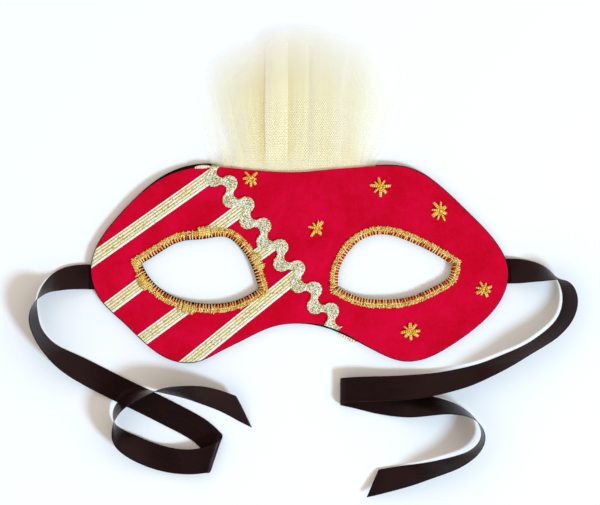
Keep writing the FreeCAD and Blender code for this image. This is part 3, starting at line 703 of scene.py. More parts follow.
def net_material(colours, sizes):
    """Glitter net: its threads are denser than the gaps, and the tone says how dense the whole
    looks. The shade goes from pale to golden, partly the net's own colour and partly painted
    shade in its folds. Bright and dark flecks are painted glitter glints and painted dark
    specks. Light that passes through is given back as a little glow: a painted glow in the
    net's own colour."""
    material, tree, shader = new_material("glitter_net", Roughness=0.6, Emission_Strength=0.12)
    net = placed_group(tree, net_group, UV=own_uv(tree), Cell=sizes.net_cell, Thread_Share=0.36)
    shade = socket(tree, "ShaderNodeAttribute", {}, output=2, attribute_name="shade")
    colour = mixed(tree, shade, colour4(colours.net_pale), colour4(colours.net))
    # painted glitter glints and painted dark specks
    bright = stretched(tree, net["Fleck"], 0.50, 0.62, 0.0, 0.8)
    dark = stretched(tree, net["Fleck"], 0.44, 0.34, 0.0, 0.7)
    colour = mixed(tree, bright, colour, colour4(colours.net_pale))
    colour = mixed(tree, dark, colour, colour4(colours.net_shade))
    tree.links.new(colour, shader.inputs["Base Color"])
    # painted glow: the net's colour given out as light
    tree.links.new(colour, shader.inputs["Emission Color"])
    soft = stretched(tree, net["Streak"], 0.3, 0.7, 0.9, 1.1)
    meshed = stretched(tree, net["Mask"], 0.0, 1.0, 0.60, 1.42)
    tree.links.new(maths(tree, "MULTIPLY", maths(tree, "MULTIPLY", tone_of(tree), soft), meshed),
                   shader.inputs["Alpha"])
    return material


def interfacing_material():
    """Stiff white interfacing, a coarse weave."""
    material, tree, shader = new_material("white_interfacing", Roughness=0.9)
    place = object_place(tree)
    cloud = noise(tree, place, 700.0, 3.0)
    colour = mixed(tree, cloud, (0.62, 0.60, 0.55, 1), (0.8, 0.79, 0.74, 1))
    tree.links.new(colour, shader.inputs["Base Color"])
    weave = placed_group(tree, weave_group, Vector=place, Warps_per_Metre=1300.0, Wefts_per_Metre=1300.0)
    bump(tree, shader, weave["Height"], 0.5, 0.00015)
    return material


# --- what a user can change -------------------------------------------------------------


class MaskSizes(bpy.types.PropertyGroup):
    """Sizes of the finishing pieces, in metres."""

    ribbon_width: FloatProperty(name="Ribbon Width", description="Edge to edge of a tie ribbon",
                                default=0.0127, unit="LENGTH")
    ribbon_thick: FloatProperty(name="Ribbon Thickness", description="Thickness of a tie ribbon",
                                default=0.0003, unit="LENGTH")
    edge_radius: FloatProperty(name="Felt Edge Radius", description="Rounding of the felt's cut edges",
                               default=0.00045, unit="LENGTH")
    stripe_width: FloatProperty(name="Stripe Width", description="Edge to edge of a stripe",
                                default=0.0066, unit="LENGTH")
    braid_width: FloatProperty(name="Braid Width", description="Edge to edge of the braid, square to its run",
                               default=0.0066, unit="LENGTH")
    braid_strands: IntProperty(name="Braid Strands", description="How many strands are plaited",
                               default=5, min=3, max=15)
    stitch_gap: FloatProperty(name="Stitch Spacing", description="Between two threads round an eye hole",
                              default=0.00080, unit="LENGTH")
    thread_radius: FloatProperty(name="Thread Radius", description="Half the width of the gold thread",
                                 default=0.00030, unit="LENGTH")
    net_cell: FloatProperty(name="Net Cell", description="Width of one cell of the net",
                            default=0.0010, unit="LENGTH")


def colour_property(label, text, value):
    """A linear colour that a user can pick."""
    return FloatVectorProperty(name=label, description=text, default=value, subtype="COLOR", size=3,
                               min=0, max=1)


class MaskColours(bpy.types.PropertyGroup):
    """Colours of the mask's materials."""

    felt: colour_property("Felt", "Red front panel", (0.66, 0.001, 0.036))
    felt_deep: colour_property("Felt Deep", "Red front panel where it is darker", (0.53, 0.0, 0.014))
    felt_pale: colour_property("Felt Nap", "Tips of the red fibres", (0.72, 0.003, 0.045))
    lining: colour_property("Lining", "Black lining", (0.018, 0.012, 0.014))
    # Gold, Braid, Stripe and Net Shade are painted shade. Gold, Braid and Net Highlight are partly the
    # thread's own paler colour and partly painted highlight and glint.
    gold: colour_property("Gold Thread", "Eye stitching and stars", (1.0, 0.64, 0.018))
    gold_pale: colour_property("Gold Highlight", "Tips of the gold stitches", (1.0, 0.94, 0.40))
    gold_shade: colour_property("Gold Shade", "Between the gold stitches", (0.34, 0.035, 0.008))
    braid: colour_property("Braid", "Cream strands of the braid", (0.88, 0.82, 0.33))
    braid_pale: colour_property("Braid Highlight", "White strands of the braid", (1.0, 0.99, 0.90))
    braid_shade: colour_property("Braid Shade", "Olive between the strands", (0.34, 0.27, 0.03))
    trim_gold: colour_property("Stripe Gold", "Ribs of the stripes", (0.78, 0.64, 0.24))
    trim_pale: colour_property("Stripe Highlight", "Bright ribs of the stripes", (1.0, 0.96, 0.72))
    trim_shade: colour_property("Stripe Shade", "Between the ribs", (0.34, 0.25, 0.05))
    satin: colour_property("Ribbon", "Black satin", (0.0080, 0.0030, 0.0032))
    net: colour_property("Net", "Yellow net", (0.74, 0.60, 0.205))
    net_pale: colour_property("Net Highlight", "Glitter on the net", (0.975, 0.94, 0.74))
    net_shade: colour_property("Net Shade", "Dark flecks of the net", (0.45, 0.33, 0.10))
    floor: colour_property("Table", "The surface the mask lies on", (0.93, 0.94, 0.97))


# --- pieces -----------------------------------------------------------------------------


def route_line(name, points):
    """The smooth line of a ribbon: a NURBS spline of order 3 with these control points, read
    back as the points of a mesh without any bevel."""
    curve = bpy.data.curves.new(name, "CURVE")
    curve.dimensions = "3D"
    curve.resolution_u = 8
    route = curve.splines.new("NURBS")
    route.points.add(len(points) - 1)
    route.points.foreach_set("co", np.hstack([points, np.ones((len(points), 1))]).ravel())
    route.order_u = 3
    route.use_endpoint_u = True
    holder = link(name, curve)
    mesh = bpy.data.meshes.new_from_object(holder)
    line = np.empty(len(mesh.vertices) * 3)
    mesh.vertices.foreach_get("co", line)
    bpy.data.objects.remove(holder)
    bpy.data.curves.remove(curve)
    bpy.data.meshes.remove(mesh)
    return line.reshape(-1, 3)


def ribbon_frame(name, rows, exit_x, side, width):
    """The centre line of a ribbon and the direction across it. Both come from splines with
    the same knots: one through the route's points, one through those points moved half a
    width along the direction across, which is the cosine of the lean along the heading
    plus the sine of the lean upwards. A point stands half its leaning width above its
    lower edge."""
    out, y, lift, heading, lean = np.array(rows).T
    heading, lean = np.radians(heading), np.radians(lean)
    across = np.stack([np.cos(lean) * np.cos(heading), np.cos(lean) * np.sin(heading), np.sin(lean)], 1)
    height = lift + width / 2 * np.abs(across[:, 2])
    height[0] = RIBBON_LEVEL
    points = np.stack([exit_x + side * out, y, height], 1)
    centre = route_line(name + "_centre", points)
    edge = route_line(name + "_edge", points + across * width / 2)
    return centre, unit(edge - centre)


def ribbon_piece(name, rows, exit_x, side, sizes, material, cut_slant):
    """A flat ribbon: at a run along the centre line and a share across from -1 to 1, the
    point is the centre plus the share times half the width, divided by the sine of the
    angle between line and direction, along the direction across. Its last runs are
    stretched by the share, so that the end is cut on the slant. The section is a thin
    oblong with rounded selvedges."""
    centre, across = ribbon_frame(name, rows, exit_x, side, sizes.ribbon_width)
    run = run_along(centre)
    length = run[-1]
    share = np.array([-1, -0.985, -0.9, -0.7, -0.45, -0.2, 0, 0.2, 0.45, 0.7, 0.9, 0.985, 1])
    half = sizes.ribbon_thick / 2
    rise = half * np.array([0.25, 0.9, 1.0, 0.7, 0.6, 0.6, 0.6, 0.6, 0.6, 0.7, 1.0, 0.9, 0.25])
    steps = 420
    base = np.linspace(0, length, steps)
    cut = side * -share * math.tan(cut_slant) * sizes.ribbon_width / 2
    late = np.clip((base - (length - CUT_REACH)) / CUT_REACH, 0, 1)
    where = base[:, None] + cut * (late**1.5)[:, None]
    inside = np.minimum(where, length)
    middle = between(inside, run, centre)
    middle += np.maximum(where - length, 0)[..., None] * unit(centre[-1] - centre[-2])
    ruling = unit(between(inside, run, across))
    along = unit(between(inside, run, unit(np.gradient(centre, axis=0))))
    normal = np.cross(along, ruling)
    sine = np.maximum(np.linalg.norm(normal, axis=-1, keepdims=True), 0.5)
    normal = unit(normal)
    ripple = 0.00012 * np.sin(where * 260 + 2.0 * share) * np.abs(share) ** 2
    flat = middle + ruling * (share * sizes.ribbon_width / 2)[:, None] / sine + normal * ripple[..., None]
    upper = flat + normal * rise[:, None]
    lower = flat - normal * rise[:, None]
    points = np.concatenate([upper, lower[:, ::-1]], axis=1)
    uv_upper = np.stack([where, np.broadcast_to(share * sizes.ribbon_width / 2, where.shape)], -1)
    uv = np.concatenate([uv_upper, uv_upper[:, ::-1]], axis=1)
    band = grid_patch(points, uv, closed_columns=True)
    count = share.size
    columns = np.arange(count - 1)
    caps = []
    for row in (0, steps - 1):
        start = row * 2 * count
        cap = np.stack([start + columns, start + columns + 1, start + 2 * count - 2 - columns,
                        start + 2 * count - 1 - columns], 1)
        caps.append(cap if row else cap[:, ::-1])
    band.quads = np.concatenate([band.quads] + caps)
    piece = mesh_piece(name + "_satin", [band], material)
    facing_outwards(piece)
    return piece, centre, length


def facing_outwards(piece):
    """Turns a closed piece's faces outwards."""
    mesh = bmesh.new()
    mesh.from_mesh(piece.data)
    bmesh.ops.recalc_face_normals(mesh, faces=mesh.faces)
    mesh.to_mesh(piece.data)
    mesh.free()


def cut_sheet(name, loops, low, high, radius, material):
    """Thick cloth cut to closed loops: a filled flat curve, raised to its thickness, with
    the cut edges rounded inwards by the radius."""
    curve = bpy.data.curves.new(name, "CURVE")
    curve.dimensions = "2D"
    curve.fill_mode = "BOTH"
    curve.extrude = (high - low) / 2 - radius
    curve.bevel_depth = radius
    curve.bevel_resolution = 3
    curve.offset = -radius
    for loop in loops:
        route = curve.splines.new("POLY")
        route.points.add(len(loop) - 1)
        level = np.zeros((len(loop), 1))
        route.points.foreach_set("co", np.hstack([loop, level, level + 1]).ravel())
        route.use_cyclic_u = True
    holder = link(name, curve)
    mesh = bpy.data.meshes.new_from_object(holder)
    bpy.data.objects.remove(holder)
    bpy.data.curves.remove(curve)
    mesh.name = name
    mesh.transform(Matrix.Translation((0, 0, (low + high) / 2)))
    mesh.materials.clear()
    mesh.materials.append(material)
    piece = link(name, mesh)
    shape = bmesh.new()
    shape.from_mesh(mesh)
    bmesh.ops.remove_doubles(shape, verts=shape.verts, dist=1e-6)
    bmesh.ops.recalc_face_normals(shape, faces=shape.faces)
    for face in shape.faces:
        face.smooth = abs(face.normal.z) < 0.995
        face.material_index = 0
    shape.to_mesh(mesh)
    shape.free()
    return piece


# --- trimmings --------------------------------------------------------------------------


def braid_edges(station, width):
    """Both edges of the rickrack at stations counted in half waves from the phase, in
    millimetres along and across its run. Each edge is one circular arc per half wave, and
    the arcs turn by turn stand on the outside of a bend, broad, and on its inside, tight.
    An arc's point is its middle plus the radius times the sine of the angle along, and its
    crown less the radius times one minus the cosine across."""
    wave, swing, share = BRAID_WAVE, BRAID_SWING, BRAID_BROAD_SHARE
    piece = np.round(station)
    part = (station - piece) * 2
    along_middle = BRAID_PHASE + wave / 2 * piece
    even = piece % 2 == 0
    edges = []
    for side in (-1, 1):
        broad = even if side > 0 else ~even
        chord = np.where(broad, share, 1 - share) * wave / 2
        sagitta = np.where(broad, share, 1 - share) * 2 * swing
        radius = (chord**2 + sagitta**2) / (2 * sagitta)
        reach = np.arccos(np.clip(1 - sagitta / radius, -1, 1))
        angle = part * reach
        crown = np.where(even, swing, -swing) + side * width / 2 / MM
        bulge = np.where(even, 1, -1) * radius * (1 - np.cos(angle))
        edges.append(np.stack([along_middle + radius * np.sin(angle), crown - bulge], -1))
    return edges


def braid_place(station, share, width):
    """Flat places on the rickrack, in metres: the share from -1 to 1 goes from its lower to
    its upper edge in a straight line, and its run is turned to its heading about its
    middle."""
    lower, upper = braid_edges(station, width)
    flat = lower + (upper - lower) * ((share + 1) / 2)[..., None]
    along, across = slanted(BRAID_HEADING)
    return (np.array(BRAID_MIDDLE) + flat[..., :1] * along + flat[..., 1:] * across) * MM


def braid_surface(station, share, height, width):
    """Points on the rickrack at a height."""
    return at_height(braid_place(station, share, width), height)


def nearest_stop(start, direction, loops, margins):
    """For each line from start in a direction, how far it runs before its first crossing
    with a loop, plus that loop's margin. A crossing with a piece of a loop is where both
    straight lines meet, and counts if it lies on the piece and ahead."""
    best = np.full(len(start), np.inf)
    for loop, margin in zip(loops, margins):
        one, two = loop[:-1], loop[1:]
        edge = two - one
        cross = direction[0] * edge[:, 1] - direction[1] * edge[:, 0]
        cross = np.where(np.abs(cross) < 1e-15, 1e-15, cross)
        gap = one[None] - start[:, None]
        ahead = (gap[..., 0] * edge[:, 1] - gap[..., 1] * edge[:, 0]) / cross
        part = (gap[..., 0] * direction[1] - gap[..., 1] * direction[0]) / cross
        hits = np.where((ahead > 0) & (part >= -1e-3) & (part <= 1.001), ahead, np.inf)
        best = np.minimum(best, hits.min(axis=1) + margin)
    return best


def stripe_patch(anchor, slope, inside, width, loops, margins, edge):
    """One stripe: at a share across from -1 to 1, a line along the slope runs between the
    first stops either way from a run inside it. Its height is a flat selvedge near both
    edges and three rounded ribs between them, one less the cosine of the share."""
    along, across = slanted(slope)
    share = np.array([-1.01, -1, -0.97] + list(np.linspace(-0.93, 0.93, 37)) + [0.97, 1, 1.01])
    start = (np.array(anchor) + inside * along) * MM + share[:, None] * width / 2 * across
    ahead = nearest_stop(start, along, loops, margins)
    behind = nearest_stop(start, -along, loops, margins)
    run = np.linspace(0, 1, 90)[:, None] * (ahead + behind) - behind
    points = start[None] + run[..., None] * along
    rib = (1 - np.cos((share + 0.60) * 2 * math.pi / 0.44)) * 0.00008
    high = FRONT_TOP + 0.00032 + np.where(np.abs(share) < 0.7, rib, 0.00012)
    high = np.where(np.abs(share) >= 1, FRONT_TOP + 0.00012, high)
    high = np.where(np.abs(share) > 1, FRONT_TOP - 0.0002, high)
    uv = np.stack([run, np.broadcast_to(share, run.shape)], -1)
    return facing_up(grid_patch(folded_over(at_height(points, high), edge, 0.0006, LINING_TOP), uv))


def braid_patches(sizes, edge, generator):
    """The braid: a ground band and plaited strands. A strand's share across is a triangle
    wave of its phase, which is its number over the count of strands plus the station times
    the cycles per half wave; its height is a cosine of the phase times twice the count and
    half a turn, one way while it climbs and the other while it falls, so that it goes over
    and under the strands it crosses, and fades to none at both edges. Each strand is a few
    yarns side by side."""
    low, high = BRAID_SPAN
    count = sizes.braid_strands
    width = sizes.braid_width
    spread, shares = np.meshgrid(np.linspace(low, high, 500), np.linspace(-1, 1, 9), indexing="ij")
    # The ground band is in the shade colour (tone 0): painted shade between the strands.
    ground = braid_surface(spread, shares, FRONT_TOP + 0.00045 - 0.0003 * shares**4, width)
    uv = np.stack([spread * BRAID_WAVE / 2 * MM, shares], -1)
    patches = [facing_up(grid_patch(folded_over(ground, edge, BRAID_FOLD, LINING_TOP), uv, 0.0))]
    cycles = 0.42
    stations = np.linspace(low, high, 560)
    yarns = np.arange(3) - 1
    strand = np.arange(count)
    phase = (stations * cycles)[None] + (strand / count)[:, None]
    turn = phase % 1.0
    share = 1 - 4 * np.abs(turn - 0.5)
    climbing = np.where(turn < 0.5, 1, -1)
    level = climbing * np.cos(2 * math.pi * count * turn) * (1 - np.abs(share) ** 6)
    height = FRONT_TOP + 0.0007 + level * 0.00022
    paths = []
    for yarn in yarns:
        moved = np.broadcast_to(stations + yarn * 0.29 / cycles / count, share.shape)
        paths.append(braid_surface(moved, share * 0.97, height - 0.00004 * abs(yarn), width))
    paths = folded_over(np.concatenate(paths), edge, BRAID_FOLD, LINING_TOP)
    # Strands pale and cream in turn with a darker middle yarn; darker where a strand goes under and lighter
    # on top: painted shade and painted highlight of the plait.
    tone = np.tile(np.where(strand % 2 == 0, 0.85, 0.55), 3) - np.repeat([0.0, 0.15, 0.0], count)
    tone = tone[:, None] + generator.normal(0, 0.08, (len(paths), 1)) + np.tile(level, (3, 1)) * 0.5
    tone = np.clip(tone, 0, 1)
    patches.append(threads(paths, (1, 0.3, 0), 0.00031, 0.00020, 4, tone))
    return patches


def braid_tail(edge, begin, end, widest, level):
    """An end of the braid, turned to the back over a cut edge: a strip beside the edge,
    whose width swells and fades as a sine of its run, with its yarns as ridges."""
    start, stop = sorted(((edge - np.array(place) * MM) ** 2).sum(1).argmin() for place in (begin, end))
    line = edge[start:stop + 1]
    normals = outward(edge)[start:stop + 1]
    run = np.linspace(0, 1, len(line))
    width = widest * np.sin(math.pi * np.clip(run * 0.9 + 0.08, 0, 1)) ** 0.6
    share = np.linspace(-0.8, 1, 12)
    points = line[:, None] + normals[:, None] * (share * width[:, None])[..., None]
    high = level + 0.00012 * np.abs(np.sin(share * 9)) - 0.0007 * np.clip(share, 0, 1) ** 6
    uv = np.stack(np.broadcast_arrays(run[:, None] * 0.012, share * 0.003), -1)
    return facing_up(grid_patch(at_height(points, high), uv, 0.85))


def ring_frame(loop, reach, smoothing, count):
    """Stations round a cut edge, evenly spaced on the line that lies reach outside it: the
    edge's point and the direction out from it. Directions are averaged over neighbours
    within the smoothing distance, and made longer at corners so that they still reach the
    same distance from both sides."""
    sharp = outward(loop)
    step = np.linalg.norm(np.roll(loop, -1, axis=0) - loop, axis=1).mean()
    spread = max(1, round(smoothing / step))
    soft = unit(sum(np.roll(sharp, shift, axis=0) for shift in range(-spread, spread + 1)))
    soft = soft / np.maximum((soft * sharp).sum(1, keepdims=True), 0.75)
    middle = loop + soft * reach
    run = run_along(closed(middle))
    where = np.linspace(0, run[-1], count, endpoint=False)
    return between(where, run, closed(loop)), between(where, run, closed(soft)), run[-1]


def stitched(base, out, along, reach, shift, height):
    """Thread paths over an edge: at each step, the edge's point plus the reach times the
    direction out plus the shift times the direction along."""
    flat = base[:, None] + out[:, None] * reach[..., None] + along[:, None] * shift[..., None]
    return at_height(flat, height)


def eye_stitch_patches(lids, sizes, generator):
    """The worked edge of an eye hole: a padded band, two cords laid along it, slanted
    threads over them, and legs that go over the cut edge. A thread's height is the felt's
    top plus an arch, the sine of its run."""
    loop = eye_outline(lids, 720)
    around = ring_frame(loop, STITCH_MIDDLE, STITCH_TURN, 10)[2]
    count = int(around / sizes.stitch_gap)
    base, out, _ = ring_frame(loop, STITCH_MIDDLE, STITCH_TURN, count)
    middle_line = base + out * STITCH_MIDDLE
    along = unit(np.roll(middle_line, -1, axis=0) - np.roll(middle_line, 1, axis=0))
    sideways = at_height(along, 0.0)[:, None]
    patches = []
    # padding, in the shade colour: painted shade between the threads
    share = np.linspace(0, 1, 9)
    reach = 0.0018 + 0.0014 * share
    band = base[:, None] + out[:, None] * reach[:, None]
    band = at_height(band, FRONT_TOP - 0.0001 + 0.0005 * np.sin(math.pi * share) ** 0.5)
    uv = np.stack(np.broadcast_arrays(np.arange(count)[:, None] * sizes.stitch_gap, share), -1)
    patches.append(facing_up(grid_patch(band, uv, 0.05, closed_rows=True)))
    # cords
    dense = 900
    cord_base, cord_out, _ = ring_frame(loop, STITCH_MIDDLE, STITCH_TURN, dense)
    for reach, radius in ((0.0030, 0.00036), (0.0019, 0.00030)):
        wander = np.convolve(generator.normal(0, 1, dense + 40), np.ones(41) / 6.4, "valid")[:dense] * 0.00007
        path = at_height(cord_base + cord_out * (reach + wander)[:, None], FRONT_TOP + 0.00048)[None]
        tone = np.clip(0.45 + 0.3 * np.sin(np.arange(dense) * 0.7) + generator.normal(0, 0.12, dense), 0, 1)
        patches.append(threads(path, (0, 0, 1), radius, radius, 6, tone[None]))
    # slanted threads over the cords, each at a random tone from painted shade to painted highlight
    step = np.linspace(0, 1, 9)
    from_out = 0.0038 + generator.normal(0, 0.00022, (count, 1))
    to_in = 0.0009 + generator.normal(0, 0.00025, (count, 1))
    reach = from_out + (to_in - from_out) * step
    slant = generator.normal(0.0007, 0.00035, (count, 1))
    shift = slant * (0.5 - step)
    lift = 0.00085 + generator.normal(0, 0.00008, (count, 1))
    height = FRONT_TOP - 0.0002 + lift * np.sin(math.pi * step) ** 0.45
    tone = np.clip(generator.normal(0.72, 0.50, (count, 1)) + 0.25 * np.cos(step * 9), 0, 1)
    paths = stitched(base, out, along, reach, shift, height)
    patches.append(threads(paths, sideways, sizes.thread_radius, sizes.thread_radius * 0.8, 5, tone))
    # legs over the cut edge
    legs = slice(None, None, 2)
    number = len(base[legs])
    step = np.linspace(0, 1, 10)
    reach = np.interp(step, [0, 0.55, 0.75, 1], [0.0024, 0.0003, -0.00055, -0.0006]) * np.ones((number, 1))
    high = np.interp(step, [0, 0.2, 0.5, 0.7, 1], [0.0004, 0.0008, 0.0004, -0.0006, -0.0022])
    height = FRONT_TOP + high * np.ones((number, 1))
    shift = generator.normal(0, 0.0003, (number, 1)) * (1 - step) + generator.normal(0, 0.0001, (number, 1))
    paths = stitched(base[legs], out[legs], along[legs], reach, shift, height)
    tone = np.clip(generator.normal(0.62, 0.32, (number, 1)), 0, 1)
    patches.append(threads(paths, sideways[legs], sizes.thread_radius * 1.05, sizes.thread_radius, 5, tone))
    # loose short threads on top, mostly pale: painted highlights on the stitching
    number = count
    pick = generator.integers(0, count, number)
    step = np.linspace(0, 1, 6)
    middle = generator.uniform(0.0013, 0.0034, (number, 1))
    half = generator.uniform(0.0003, 0.0009, (number, 1))
    lean = generator.uniform(-1.1, 1.1, (number, 1))
    reach = middle + half * (step * 2 - 1) * np.cos(lean)
    shift = half * (step * 2 - 1) * np.sin(lean)
    height = FRONT_TOP + 0.00055 + 0.00035 * np.sin(math.pi * step) * np.ones((number, 1))
    paths = stitched(base[pick], out[pick], along[pick], reach, shift, height)
    tone = np.clip(generator.normal(0.85, 0.3, (number, 1)), 0, 1)
    patches.append(threads(paths, sideways[pick], sizes.thread_radius * 0.7,
                           sizes.thread_radius * 0.6, 4, tone))
    # thick spots
    for spot in THICK_SPOTS:
        gap = np.linalg.norm(middle_line - np.array(spot) * MM, axis=1)
        if gap.min() > SPOT_FAR:
            continue
        close = np.flatnonzero(gap < SPOT_REACH).repeat(3)
        number = len(close)
        step = np.linspace(0, 1, 8)
        ends = generator.normal((0.0052, 0.0004), 0.0004, (number, 2))
        reach = ends[:, :1] + (ends[:, 1:] - ends[:, :1]) * step
        shift = generator.normal(0, 0.0006, (number, 1)) + generator.normal(0, 0.0006, (number, 1)) * step
        high = 0.0002 + (0.0012 + generator.normal(0, 0.00012, (number, 1))) * np.sin(math.pi * step) ** 0.5
        paths = stitched(base[close], out[close], along[close], reach, shift, FRONT_TOP + high)
        tone = np.clip(generator.normal(0.7, 0.22, (number, 1)), 0, 1)
        patches.append(threads(paths, sideways[close], sizes.thread_radius, sizes.thread_radius, 5, tone))
    return patches


def star_patches(centre, arms, generator):
    """A star in satin stitch: each arm is a few threads side by side from near the middle
    to its tip, closer together at the tip, arched as a sine of the run; a few short threads
    cross the middle."""
    centre = np.array([*centre, 0.0]) * MM
    step = np.linspace(0, 1, 9)
    patches = []
    for dx, dy, number in arms:
        tip = np.array([dx, dy, 0.0]) * MM
        reach = np.linalg.norm(tip)
        side = np.array([-tip[1], tip[0], 0]) / reach
        lane = (np.arange(number) - (number - 1) / 2)[:, None]
        run = 0.06 + 0.94 * step + generator.normal(0, 0.02, (number, 1)) * step
        spread = lane * 0.00050 * (1 - 0.35 * step) + generator.normal(0, 0.00006, (number, 1))
        arch = 0.00095 * np.sin(math.pi * (0.12 + 0.88 * step)) ** 0.6 - 0.0001 - 0.00008 * np.abs(lane)
        points = centre + run[..., None] * tip + spread[..., None] * side
        points[..., 2] = FRONT_TOP + arch
        tone = np.clip(0.14 + 0.58 * step**0.9 + generator.normal(0, 0.12, (number, 1)), 0, 1)
        thick = 0.00046 * (1 - 0.35 * step)
        patches.append(threads(points, side, thick, thick, 6, tone))
    number = 7
    lean = generator.uniform(0, math.pi, (number, 1))
    half = generator.uniform(0.0006, 0.0011, (number, 1))
    away = generator.normal(0, 0.0003, (number, 2))
    line = (step * 2 - 1) * half
    points = np.stack([away[:, :1] + line * np.cos(lean), away[:, 1:] + line * np.sin(lean),
                       0.0005 + 0.0006 * np.sin(math.pi * step) * np.ones((number, 1))], -1)
    points = points + centre + np.array([0, 0, FRONT_TOP])
    sideways = np.stack([-np.sin(lean), np.cos(lean), lean * 0], -1)
    patches.append(threads(points, sideways, 0.00028, 0.00026, 5, generator.uniform(0.1, 0.9, (number, 1))))
    return patches


# Net layers: piece, CAD nodes it stands for, number of soft pleats, height of the layer
# at the seam and at the loose edge, then rays from left to right. A ray is a share of the
# width, x at the foot, x and distance above the seam at the loose edge, how dense and how
# golden the net looks there, and how far a fold lifts it. Millimetres. The golden share is
# partly the net's own colour where it lies thick and partly painted shade in its folds.
NET_LAYERS = [
    ("net_back", ["tulle_layer_back", "tulle_heading"], 9, 0.5, 1.6, [
        (0.00, -43, -57, 34.0, 0.10, 0.1, 0.0), (0.10, -40, -53, 44.0, 0.16, 0.15, 0.0),
        (0.25, -30, -40, 57.0, 0.13, 0.2, 0.0), (0.50, -4, 0, 68.3, 0.16, 0.3, 0.0),
        (0.75, 20, 34, 60.5, 0.13, 0.2, 0.0), (0.90, 32, 55, 45.0, 0.18, 0.2, 0.0),
        (1.00, 35, 62, 33.0, 0.10, 0.1, 0.0)]),
    ("net_middle", ["tulle_layer_middle"], 7, 1.7, 3.0, [
        (0.00, -38, -47, 46.0, 0.10, 0.2, 0.0), (0.20, -28, -36, 56.0, 0.24, 0.3, 0.0),
        (0.40, -14, -17, 64.0, 0.30, 0.4, 0.0), (0.60, 2, 4, 67.5, 0.30, 0.4, 0.0),
        (0.75, 14, 18, 65.0, 0.26, 0.35, 0.0), (0.88, 25, 35, 59.0, 0.26, 0.3, 0.0),
        (1.00, 32, 50, 48.0, 0.14, 0.2, 0.0)]),
    ("net_front", ["tulle_layer_front"], 5, 2.8, 4.2, [
        (0.000, -29.0, -46.0, 42.0, 0.10, 0.30, 0.0), (0.080, -26.0, -41.0, 49.0, 0.42, 0.35, 0.0),
        (0.200, -22.5, -31.0, 53.5, 0.50, 0.45, 0.0), (0.300, -19.5, -22.5, 57.0, 0.70, 0.85, 0.0),
        (0.345, -17.4, -17.2, 60.0, 0.80, 1.00, 0.0), (0.362, -16.6, -16.2, 61.5, 0.80, 0.35, 0.8),
        (0.420, -13.4, -13.0, 64.0, 0.70, 0.50, 1.1), (0.480, -10.0, -9.5, 66.0, 0.70, 0.45, 1.1),
        (0.530, -7.0, -6.5, 66.8, 0.75, 0.35, 0.9), (0.547, -6.2, -5.4, 67.0, 0.80, 1.00, 0.0),
        (0.580, -4.0, -2.5, 67.3, 0.70, 0.75, 0.0), (0.640, 0.0, 2.5, 67.3, 0.60, 0.55, 0.2),
        (0.720, 7.0, 9.5, 66.5, 0.58, 0.50, 0.0), (0.800, 13.0, 16.5, 65.0, 0.52, 0.50, 0.0),
        (0.860, 18.5, 24.0, 63.5, 0.48, 0.20, 0.4), (0.900, 22.5, 30.0, 61.0, 0.40, 0.55, 0.0),
        (1.000, 29.0, 44.0, 54.0, 0.14, 0.30, 0.0)]),
]
NET_DEPTH = 7.4                      # how far its foot lies inside the seam


